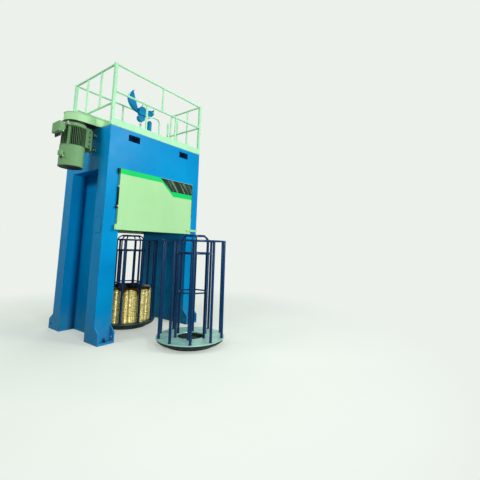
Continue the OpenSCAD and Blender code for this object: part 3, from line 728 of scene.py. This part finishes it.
def ladder_details():
    """Weld beads at the rungs' ends, bolts through the stand-offs, and the stiles' end caps."""
    rungs, rung_step, rung_r = 12, 0.28, 0.014
    x, middle = STILES.axis.x, RUNGS.axis.y
    beads, screws, caps = bmesh.new(), bmesh.new(), bmesh.new()
    for i in range(rungs):
        z = rung_step * (i + 1)
        collar(beads, (x, RUNGS.front, z), BACK, rung_r)
        collar(beads, (x, RUNGS.back, z), FRONT, rung_r)
    low_brackets = [PORTAL.top * share for share in (0.1, 0.4, 0.7)]
    for z in (*low_brackets, PORTAL.top - 0.12):
        for dz in (0.014, 0.036):
            bolt(screws, (PORTAL.right + 0.03, middle + 0.019, z + dz), BACK, 0.008)
        for y in (RUNGS.front + 0.02, RUNGS.back - 0.02):
            bolt(screws, (STILES.left - 0.014, y, z + 0.025), LEFT, 0.008)
    for y in (RUNGS.front - 0.007, RUNGS.back + 0.007):
        block(caps, (x - 0.025, y - 0.007, 0), (x + 0.025, y + 0.007, 0.012))
        block(caps, (x - 0.022, y - 0.0068, STILES.top - 0.016),
              (x + 0.022, y + 0.0068, STILES.top + 0.0002))
    fitted("ladder_weld_beads", beads, RAIL_MINT)
    fitted("ladder_bolts", screws, BRIGHT)
    fitted("ladder_stile_caps", caps, DARK)


railing_beads()
post_feet()
toe_board_details()
ladder_details()


# Guard

def guard_hems():
    """Folded edges down both sides and along the foot of the front guard."""
    fold, proud = 0.014, 0.0015
    front, face = GUARD.front - proud, GUARD.front
    inner_left, inner_right = GUARD.left + fold, GUARD.right - fold
    hems = bmesh.new()
    for lo, hi in (
        ((GUARD.left, front, GUARD.foot), (inner_left, face, GUARD.top - 0.09)),
        ((inner_right, front, GUARD.foot), (GUARD.right, face, GUARD.top - 0.325)),
        ((inner_left, front, GUARD.foot), (inner_right, face, GUARD.foot + fold)),
    ):
        block(hems, lo, hi, 0.0005, 1)
    fitted("guard_hems", hems, GUARD_MINT)


def window_seal():
    """Black bead round the slanted window."""
    y, inset, slant_foot = GUARD.front - 0.0005, 0.004, 0.282
    corners = [(0.006, WINDOW.top - inset), (WINDOW.right - inset, WINDOW.top - inset),
               (WINDOW.right - inset, WINDOW.foot + 0.003), (slant_foot, WINDOW.foot + 0.003)]
    seal = bmesh.new()
    for (xa, za), (xb, zb) in zip(corners, corners[1:] + corners[:1]):
        rod(seal, (xa, y, za), (xb, y, zb), 0.003, 8)
    fitted("window_seal", seal, DARK)


def guard_fittings():
    """Hinge, seals and catch at the guard's edges, and the pale buffers by them."""
    left, right, y = GUARD.left, GUARD.right, PORTAL.front
    dark, pads = bmesh.new(), bmesh.new()
    hinge = (left - 0.036, y - 0.052, 2.762), (left - 0.002, y, GUARD.top)
    left_seal = (left - 0.016, y - 0.046, 2.20), (left - 0.001, y - 0.004, 2.51)
    right_seal = (right + 0.001, y - 0.046, 2.12), (right + 0.016, y - 0.004, 2.82)
    catch = (left - 0.032, y - 0.03, 2.145), (left - 0.002, y, 2.195)
    for (lo, hi), edge in ((hinge, 0.004), (left_seal, 0.003), (right_seal, 0.003), (catch, 0.004)):
        block(dark, lo, hi, edge)
    knob = [(ON_AXIS, 0), (0.017, 0), (0.02, 0.006), (0.02, 0.016), (0.014, 0.024), (ON_AXIS, 0.024)]
    turned(dark, knob, facing((-0.3, -1, 0), (left - 0.026, y - 0.028, 2.17)), 20)
    rod(dark, (left - 0.019, y - 0.02, 2.73), (left - 0.019, y - 0.02, 2.762), 0.008, 14)
    fitted("guard_hinges_and_seals", dark, DARK)
    for z in (2.512, 2.176):
        block(pads, (left - 0.022, y - 0.05, z), (left - 0.002, y - 0.012, z + 0.02), 0.003)
    fitted("guard_buffers", pads, ("rail_mint", pale_pad_and_highlight_paint))


def guard_bolts():
    """Bolts of the sill bar with its bearing block, and of the rear guard."""
    screws = bmesh.new()
    sill_face = GUARD.front - 0.018
    for x in (-0.872, -0.763):
        for z in (GUARD.foot + 0.018, GUARD.foot + 0.072):
            bolt(screws, (x, sill_face, z), FRONT, 0.008)
    for x in (0.74, 0.80, 0.93, 0.99):
        bolt(screws, (x, sill_face, GUARD.foot + 0.07), FRONT, 0.009)
    for i in range(5):
        x = 0.38 * (i - 2)
        for z in (GUARD.foot + 0.03, GUARD.top - 0.03):
            bolt(screws, (x, REAR_GUARD.back, z), BACK, 0.008)
    fitted("guard_bolts", screws, BRIGHT)


def rear_guard_handles():
    """Two bar handles low on the rear guard."""
    handle = bmesh.new()
    bar, half, z = 0.007, 0.07, 1.90
    near, far = REAR_GUARD.back - 0.005, REAR_GUARD.back + 0.04
    for x in (-0.5, 0.5):
        for side in (-half, half):
            rod(handle, (x + side, near, z), (x + side, far, z), bar, 12)
        rod(handle, (x - half - bar, far, z), (x + half + bar, far, z), bar, 12)
    fitted("rear_guard_handles", handle, DARK)


guard_hems()
window_seal()
guard_fittings()
guard_bolts()
rear_guard_handles()


# Drive

SMALL_END_R = MOTOR.x - BELT_GUARD.left
BIG_END_R = BELT_GUARD.right
SHAFTS_APART = MOTOR.length
ALONG_BELT = math.atan2(-MOTOR.y, -MOTOR.x)


def belt_lean(small_r, big_r):
    """The angle from the line of the shafts to where the belt guard's straight sides begin."""
    return math.acos((small_r - big_r) / SHAFTS_APART)


def belt_loop(grow):
    """The belt guard's outline round both pulleys, grown by a little."""
    small_r, big_r = SMALL_END_R + grow, BIG_END_R + grow
    lean = belt_lean(small_r, big_r)
    points = []
    for centre, radius, first, sweep, steps in (
        (MOTOR, small_r, ALONG_BELT + lean, math.tau - 2 * lean, 24),
        (BLOCK_AXIS, big_r, ALONG_BELT - lean, 2 * lean, 40),
    ):
        points += [centre + circle(radius, first + sweep * k / steps) for k in range(steps + 1)]
    return points


def belt_guard_sheet(name, z, grow, look):
    """A thin sheet with the belt guard's outline."""
    thick = 0.004
    sheet = bmesh.new()
    rim = [sheet.verts.new(point + z * UP) for point in belt_loop(grow)]
    made = bmesh.ops.extrude_face_region(sheet, geom=[sheet.faces.new(rim)])
    raised = [v for v in made["geom"] if isinstance(v, bmesh.types.BMVert)]
    bmesh.ops.translate(sheet, vec=thick * UP, verts=raised)
    fitted(name, sheet, look)


def belt_guard_details():
    """Lid, a black sheet under it painted as shade, joint straps and screws of the belt guard."""
    lid_top = BELT_GUARD.top + 0.004
    belt_guard_sheet("belt_guard_lid", BELT_GUARD.top, 0.006, GUARD_MINT)
    # A black sheet just under the belt guard, painted as the shade beneath it.
    belt_guard_sheet("belt_guard_shade_sheet", BELT_GUARD.foot - 0.0005, 0.002, DARK)

    strap, screws = bmesh.new(), bmesh.new()
    size = Matrix.Diagonal((0.003, 0.07, 0.134, 1))
    middle_z = 3.627
    for side in (-1, 1):
        outward = ALONG_BELT + side * belt_lean(SMALL_END_R, BIG_END_R)
        across = circle(1, outward)
        way = Vector((-across.y, across.x, 0)) * -side
        turn = Matrix.Rotation(outward, 4, "Z")
        for reach in (0.30, 0.62):
            spot = MOTOR + SMALL_END_R * across + way * reach + middle_z * UP
            place = Matrix.Translation(spot + across * 0.0014) @ turn @ size
            bmesh.ops.create_cube(strap, size=1, matrix=place)
            for dz in (-0.04, 0.04):
                bolt(screws, spot + across * 0.003 + dz * UP, across, 0.007)
    fitted("belt_guard_straps", strap, GUARD_MINT)
    for point in belt_loop(-0.025)[2::4]:
        bolt(screws, point + lid_top * UP, UP, 0.008)
    fitted("belt_guard_screws", screws, BRIGHT)


def round_motor(angle, radius, z):
    """A placement on the motor's side: its own X points outwards."""
    turn = Matrix.Rotation(math.radians(angle), 4, "Z")
    return Matrix.Translation(MOTOR + z * UP) @ turn @ Matrix.Translation((radius, 0, 0))


def motor_bolt(bm, angle, radius, z, size):
    """A bolt on the motor's side."""
    place = round_motor(angle, radius, z)
    bolt(bm, place.translation, place.to_3x3().col[0], size)


def unit_pad(bm):
    """A lifting eye's pad, with the longer foot pad below it."""
    block(bm, (-0.04, -0.019, 0.005), (0.0, 0.019, 0.30), 0.006)
    block(bm, (-0.03, -0.022, 0.31), (0.012, 0.022, 0.36), 0.006)


def motor_pads(green, bright):
    """Foot pads down the fins, and the lifting eyes over them."""
    eye_r, wire_r, eye_z = 0.026, 0.008, 3.478
    points = [k * math.tau / 10 for k in range(10)]
    ring = [(eye_r + wire_r * math.cos(a), wire_r * math.sin(a)) for a in points]
    pad = stock(unit_pad)
    upright = Matrix.Rotation(math.pi / 2, 4, "X")
    for angle in (223, 133):
        stamp(green, pad, round_motor(angle, MOTOR_R, COWL.top))
        turned(bright, ring, round_motor(angle, MOTOR_R + 0.032, eye_z) @ upright, 28)
        foot = round_motor(angle, MOTOR_R, eye_z).translation
        rod(bright, foot, round_motor(angle, MOTOR_R + 0.01, eye_z).translation, 0.015)


def motor_bands(green, dark):
    """A black band painted as the shade of the gap under the flange, and the rims of the fins and of
    the cowl.
    """
    axis = Matrix.Translation(MOTOR)
    for piece, z, high, radius in (
        # Painted shade: a black band high on the flange, under the belt guard.
        (dark, 3.514, 0.031, MOTOR_R + 0.003),
        (green, FIN_TOP, 0.010, MOTOR_R + 0.003),
        (green, COWL.top - 0.012, 0.012, MOTOR_R + 0.0025),
        (green, COWL.foot + 0.006, 0.014, MOTOR_R + 0.0025),
    ):
        turned(piece, band(radius - 0.006, radius, z, z + high), axis, 64)


def fan_grille(dark):
    """Rings and spokes under the fan cowl, over a dark disc."""
    axis = Matrix.Translation(MOTOR)
    low, high = COWL.foot - 0.0025, COWL.foot + 0.0005
    for k in range(7):
        r = 0.03 + 0.022 * k
        turned(dark, band(r, r + 0.007, low, high), axis, 48)
    middle = MOTOR + (COWL.foot - 0.0015) * UP
    for k in range(4):
        spoke = circle(0.175, k * math.pi / 4)
        rod(dark, middle - spoke, middle + spoke, 0.003, 6)
    turned(dark, band(ON_AXIS, 0.172, COWL.foot - 0.0005, COWL.foot + 0.0002), axis, 48)


def type_plate_and_sensor(bright, dark):
    """A blank plate and a small sensor box on the cowl, with the sensor's gland."""
    tag, sensor = bmesh.new(), bmesh.new()
    block(tag, (-0.002, -0.03, -0.018), (0.003, 0.03, 0.018), 0.001, 1)
    bmesh.ops.transform(tag, matrix=round_motor(262, MOTOR_R, 3.0), verts=tag.verts)
    fitted("blank_type_plate", tag, MOTOR_GREEN)
    place = round_motor(196, MOTOR_R, 2.985)
    block(sensor, (-0.02, -0.035, -0.04), (0.045, 0.035, 0.04), 0.005)
    bmesh.ops.transform(sensor, matrix=place, verts=sensor.verts)
    fitted("sensor_box", sensor, MOTOR_GREEN)
    low = place @ Vector((0.015, 0, -0.04))
    rod(bright, low, low + 0.012 * DOWN, 0.016, 6)
    rod(dark, low + 0.012 * DOWN, low + 0.045 * DOWN, 0.011)
    plug = round_motor(212, MOTOR_R - 0.001, 2.93)
    rod(bright, plug.translation, plug @ Vector((0.03, 0, 0)), 0.014, 6)


def terminal_box_fittings(green, bright, dark):
    """Front and top lids of the terminal box, their screws, and the three glands below."""
    box, lid = TERMINALS, 0.004
    block(green, (box.left + 0.004, box.front - lid, box.foot + 0.006),
          (box.left + 0.081, box.front + 0.0005, box.top - 0.006))
    block(green, (box.left + 0.0015, box.front + 0.008, box.top - 0.0005),
          (box.left + 0.0835, box.back - 0.008, box.top + lid))
    for x in (box.left + 0.012, box.left + 0.073):
        for z in (box.foot + 0.015, box.top - 0.015):
            bolt(bright, (x, box.front - lid, z), FRONT, 0.005)
    for reach in (0.045, 0.115, 0.185):
        hole = Vector((box.left + 0.04, box.front + reach, box.foot))
        rod(bright, hole + 0.0005 * UP, hole + 0.012 * DOWN, 0.021, 6)
        rod(dark, hole + 0.012 * DOWN, hole + 0.054 * DOWN, 0.0165)
        rod(dark, hole + 0.054 * DOWN, hole + 0.07 * DOWN, 0.0165, 16, 0.010)


def bracket_bolts(dark):
    """Bolts through the motor's bracket and into the column."""
    wall = PORTAL.left
    for z in (3.19, 3.27, 3.35, 3.43):
        bolt(dark, (wall - 0.14, BRACKET.front, z), FRONT, 0.012)
        bolt(dark, (wall - 0.1155, MOTOR.y - 0.06, z), LEFT, 0.009)
    for y in (MOTOR.y - 0.075, MOTOR.y + 0.075):
        for z in (3.165, 3.425):
            bolt(dark, (wall - 0.055, y, z), LEFT, 0.028)
            bolt(dark, (wall - 0.028, y, z), RIGHT, 0.028)


def motor_details():
    """Everything small on the motor, gathered by finish."""
    green, bright, dark = bmesh.new(), bmesh.new(), bmesh.new()
    motor_pads(green, bright)
    motor_bands(green, dark)
    fan_grille(dark)
    for angle in (205, 240, 295, 340, 25, 70, 115, 160):
        motor_bolt(bright, angle, MOTOR_R + 0.0005, COWL.top - 0.04, 0.007)
        motor_bolt(bright, angle + 12, MOTOR_R, 3.495, 0.009)
    type_plate_and_sensor(bright, dark)
    terminal_box_fittings(green, bright, dark)
    bracket_bolts(dark)
    fitted("motor_pads_and_bands", green, MOTOR_GREEN)
    fitted("motor_fasteners", bright, BRIGHT)
    fitted("motor_grille_and_glands", dark, DARK)


belt_guard_details()
motor_details()


# Wire guide

HOOD_TILT = math.radians(81)
HOOD = Matrix.Translation(GUIDE) @ Matrix.Rotation(HOOD_TILT, 4, "X")
TALL_LEAF = HOOD @ Matrix.Translation((-0.088, -0.002, 0))
LOW_LEAF = HOOD @ Matrix.Translation((0.112, -0.129, 0))
ROLLER = HOOD @ Matrix.Translation((0.020, -0.062, 0))


def hood_rim_painted_highlights():
    """Pale bands painted as highlights on the hood's two leaves: the front rim, the outer edge and the
    inner lip.
    """
    edge = bmesh.new()
    for leaf, profile, start, end in (
        (TALL_LEAF, band(0.249, 0.2615, 0.0285, 0.0315), 117, 176),
        (TALL_LEAF, band(0.2585, 0.2612, -0.029, 0.029), 117, 168),
        (LOW_LEAF, band(0.159, 0.1745, 0.0285, 0.0315), 262, 372),
        (LOW_LEAF, band(0.1715, 0.1742, -0.029, 0.029), 262, 335),
        (LOW_LEAF, band(0.1595, 0.1645, -0.0195, 0.0285), 290, 372),
    ):
        first = leaf @ Matrix.Rotation(math.radians(start), 4, "Z")
        turned(edge, profile, first, 40, math.radians(end - start))
    fitted("hood_rim_painted_highlights", edge, ("hood_blue", pale_pad_and_highlight_paint))


def guide_fittings():
    """Bolts of the bearing block, the knee and both posts' feet, and the posts' bands."""
    screws, bands = bmesh.new(), bmesh.new()
    for x, y in ((-0.09, -0.28), (0.04, -0.28), (0.04, -0.135), (-0.09, -0.19)):
        bolt(screws, HOOD @ Vector((x, y, 0.035)), HOOD.to_3x3() @ UP, 0.012)
    knee_face, knee_z = -0.0455, 4.215
    for x in (-0.04, 0.04):
        bolt(screws, (GUIDE_POST.axis.x + x, knee_face, knee_z), FRONT, 0.012)
    foot_top = GUIDE_POST.foot + 0.012
    for k in range(4):
        a = math.radians(45 + 90 * k)
        bolt(screws, GUIDE_POST.axis + circle(0.045, a, foot_top), UP, 0.008)
        bolt(screws, SIDE_POST.axis + circle(0.062, a, foot_top), UP, 0.008)
    fitted("guide_bolts", screws, HOOD_BLUE)
    turned(bands, band(0.046, 0.050, 4.16, 4.175), Matrix.Translation(SIDE_POST.axis), 40)
    turned(bands, band(0.015, 0.021, 4.05, 4.075), Matrix.Translation(GUIDE_POST.axis), 32)
    fitted("guide_bands", bands, HOOD_BLUE)


def roller_face_pieces():
    """The roller's bearing seal, and the flange with its boss that shows in front of the hood."""
    seal, flange = bmesh.new(), bmesh.new()
    turned(seal, band(0.0112, 0.022, 0.0172, 0.0192), ROLLER, 28)
    fitted("roller_bearing_seal", seal, DARK, "roller")
    outline = [(ON_AXIS, 0.0308), (0.034, 0.0308), (0.035, 0.0325), (0.032, 0.0345),
               (0.014, 0.0345), (0.012, 0.038), (ON_AXIS, 0.038)]
    turned(flange, outline, ROLLER, 40)
    fitted("roller_front_flange", flange, ("roller_steel", roller_face), "roller")


hood_rim_painted_highlights()
guide_fittings()
roller_face_pieces()


# Carriers

OUTER_BARS, OUTER_CIRCLE, OUTER_BAR_R, OUTER_FIRST = 10, 0.512, 0.021, 9
INNER_BARS, INNER_CIRCLE, INNER_BAR_R, INNER_FIRST = 6, 0.258, 0.020, 38
LINK_R, LINK_Z = 0.012, 0.81
CAGE_TOP = Box("inner_cage").top
STEM_TOP = Box("inner_stem_bars").top
STEM_RING_Z = 1.45


def bar_places(axis, count, radius, first):
    """The angle and the foot of each bar that stands on a circle."""
    for k in range(count):
        angle = math.radians(first + 360 / count * k)
        yield angle, axis + circle(radius, angle)


def carrier_details(label, body, axis, plate_finish):
    """Weld beads at the bars' feet and at the rings, and the lip of the disc's hole."""
    beads, lip = bmesh.new(), bmesh.new()
    for _, bar in bar_places(axis, OUTER_BARS, OUTER_CIRCLE, OUTER_FIRST):
        collar(beads, bar + DISC.top * UP, UP, OUTER_BAR_R)
        collar(beads, bar + CAGE_TOP * UP, DOWN, OUTER_BAR_R)
    for angle, bar in bar_places(axis, INNER_BARS, INNER_CIRCLE, INNER_FIRST):
        collar(beads, bar + DISC.top * UP, UP, INNER_BAR_R)
        collar(beads, bar + STEM_TOP * UP, DOWN, INNER_BAR_R)
        collar(beads, bar + STEM_RING_Z * UP, UP, LINK_R)
        for turn in (-120, 120):
            side = circle(1, angle + math.radians(turn))
            collar(beads, bar + side * 0.0185 + LINK_Z * UP, side, LINK_R)
    fitted(label + "_weld_beads", beads, ("cage_navy", navy), body)
    lip_outline = [(0.2135, 0.106), (0.2165, 0.1205), (0.221, 0.1205),
                   (0.219, 0.1215), (0.2145, 0.1212), (0.2115, 0.106)]
    turned(lip, lip_outline, Matrix.Translation(axis), 96)
    fitted(label + "_hole_lip", lip, ("disc_steel", plate_finish), body)


carrier_details("loaded", "loaded_carrier", BLOCK_AXIS, inner_plate)
carrier_details("empty", "empty_carrier", FRONT_AXIS, outer_plate)


# Copper coil

BUNDLES = 10
RIBS = 3 * BUNDLES
FIRST_CREST = math.radians(27)
COIL_TOP = 0.705
COIL_FOOT = DISC.top + 0.0005
COIL_INNER_R = 0.304
WIRE = 0.0058


def crest(angle, count):
    """How near an angle is to the crest of one of several ribs: 1 there and 0 in the groove."""
    return abs(math.cos(count / 2 * (angle - FIRST_CREST))) ** 0.6


def wire_hoop(radius, steps):
    """One closed ring of wire with a four-sided section."""
    quarters = [k * math.pi / 2 for k in range(4)]
    section = [(radius + WIRE * math.cos(a), WIRE * math.sin(a)) for a in quarters]
    return stock(lambda bm: turned(bm, section, Matrix(), steps))


def outer_strands():
    """Stacked strands that follow the ribs; the last ones hang down between the bundles."""
    groove_r, depth, layers = 0.411, 0.050, 50
    hang_by, draw_in = 0.07, 0.015
    hoop = wire_hoop(groove_r, RIBS * 8)
    bm = bmesh.new()
    for layer in range(layers):
        up = layer / (layers - 1)
        z = COIL_FOOT + WIRE + up * (COIL_TOP - COIL_FOOT - WIRE)
        rise = [random.gauss(0, 0.0036) for _ in range(RIBS)]
        reach = [random.uniform(-0.008, 0.001) for _ in range(RIBS)]
        turn = random.gauss(0, 0.005)
        strand = hoop.copy()
        for vert in strand.vertices:
            x, y, dz = vert.co
            angle = math.atan2(y, x)
            rib = int(((angle - FIRST_CREST) / math.tau * RIBS + 0.5) % RIBS)
            bundle = crest(angle, BUNDLES)
            bulge = 0.55 * crest(angle + turn, RIBS) + 0.45 * bundle
            radius = math.hypot(x, y) + (depth + reach[rib]) * bulge - draw_in * up ** 9
            wave = rise[rib] * bulge * min(1, 8 * up)
            hang = hang_by * up ** 3 * (1 - bundle)
            vert.co = circle(radius, angle, z + dz + wave - hang)
        bm.from_mesh(strand)
        bpy.data.meshes.remove(strand)
    fitted("copper_outer_strands", bm, ("copper_wire", copper), "loaded_carrier", 80,
           replaces=("copper_coil",))


def top_loops():
    """The uppermost loops, laid as a rosette of full circles, in copper painted dark as shade."""
    loop_r, shift, loops = 0.366, 0.058, 9 * BUNDLES
    hoop = wire_hoop(loop_r, 56)
    bm = bmesh.new()
    for k in range(loops):
        a = FIRST_CREST + math.tau * (k * 3 % BUNDLES) / BUNDLES + random.gauss(0, 0.06)
        z = COIL_TOP - 0.045 + 0.0007 * k + random.uniform(-0.004, 0.006)
        tip_x = Matrix.Rotation(random.gauss(0, 0.014), 4, "X")
        tip_y = Matrix.Rotation(random.gauss(0, 0.014), 4, "Y")
        stamp(bm, hoop, Matrix.Translation(circle(shift, a, z)) @ tip_x @ tip_y)
    fitted("copper_top_loops", bm, ("copper_wire", top_shade_copper), "loaded_carrier", 80)


def coil_core():
    """What lies behind the outermost strands: windings painted dark as shade, from the inside to the
    grooves.
    """
    core_r, swell = 0.405, 0.045
    section = [(COIL_INNER_R, COIL_FOOT), (core_r, COIL_FOOT), (core_r, COIL_TOP - 0.10),
               (core_r - 0.01, COIL_TOP - 0.05), (COIL_INNER_R, COIL_TOP - 0.04)]
    bm = bmesh.new()
    turned(bm, section, Matrix(), RIBS * 4)
    for vert in bm.verts:
        if vert.co.xy.length > core_r - 0.005:
            vert.co.xy *= 1 + swell * crest(math.atan2(vert.co.y, vert.co.x), BUNDLES)
    fitted("copper_coil_core", bm, ("copper_wire", deep_copper), "loaded_carrier", 60)


outer_strands()
top_loops()
coil_core()


# Studio

PALE = (0.84, 0.88, 0.84, 1)


def pale_floor():
    """A plain floor that melts into the pale background, and stays dark for scattered light."""
    bm = bmesh.new()
    bmesh.ops.create_grid(bm, x_segments=1, y_segments=1, size=60)
    floor = linked("floor", mesh_from(bm, "floor"))
    f = Finish("pale_floor", Roughness=0.85, Specular_IOR_Level=0.05)
    seen = f.seen_directly()
    shown = f.mix(f.steps(f.noise(0.6, 2), 0.4, 0.6), rgb(208, 216, 206), rgb(214, 221, 212))
    f.set(f.shader, Base_Color=f.mix(seen, rgb(104, 110, 102), shown))
    distance = f.add("VectorMath", {"operation": "LENGTH"}, i0=f.place).outputs["Value"]
    far = f.math("MULTIPLY", f.steps(distance, 1.8, 5.5, 0.4, 1.0), seen)
    glow = f.add("Emission", Color=PALE, Strength=1.0)
    blend = f.add("MixShader", i0=far, i1=f.shader.outputs[0], i2=glow.outputs[0])
    f.set(f.tree.nodes["Material Output"], Surface=blend.outputs[0])
    floor.data.materials.append(f.made)
    floor.location.z = -0.001


def pale_world():
    """A pale background for what is seen directly, and a weak even light for the rest."""
    world = bpy.data.worlds.new("studio")
    scene.world = world
    w = Wiring(world)
    light = w.set(w.tree.nodes["Background"], Color=(0.84, 0.92, 0.88, 1), Strength=0.22)
    backdrop = w.add("Background", Color=PALE)
    seen = w.seen_directly()
    blend = w.add("MixShader", i0=seen, i1=light.outputs[0], i2=backdrop.outputs[0])
    w.set(w.tree.nodes["World Output"], Surface=blend.outputs[0])


def soft_lamp(name, at, aim, size, watts):
    """A square lamp of slightly cool light that looks from one point to another."""
    data = bpy.data.lights.new(name, "AREA")
    data.size = size
    data.energy = watts
    data.color = (0.97, 1.0, 0.96)
    linked(name, data).matrix_world = facing(Vector(at) - Vector(aim), at)


pale_floor()
pale_world()
soft_lamp("key", (3.0, -8.6, 6.2), (0, -0.5, 2.4), 2.6, 530)
soft_lamp("low_front", (-2.6, -8.2, 1.9), (0, -0.3, 0.5), 0.9, 370)
soft_lamp("side", (-6.5, 1.1, 6.7), (-0.9, -0.1, 3.0), 2.0, 290)
soft_lamp("top", (0.5, -1.0, 10.5), (0, 0, 0), 5.0, 320)
soft_lamp("back", (4.0, 8.0, 6.5), (0, 0, 2.2), 5.0, 300)
scene.view_settings.view_transform = "Standard"
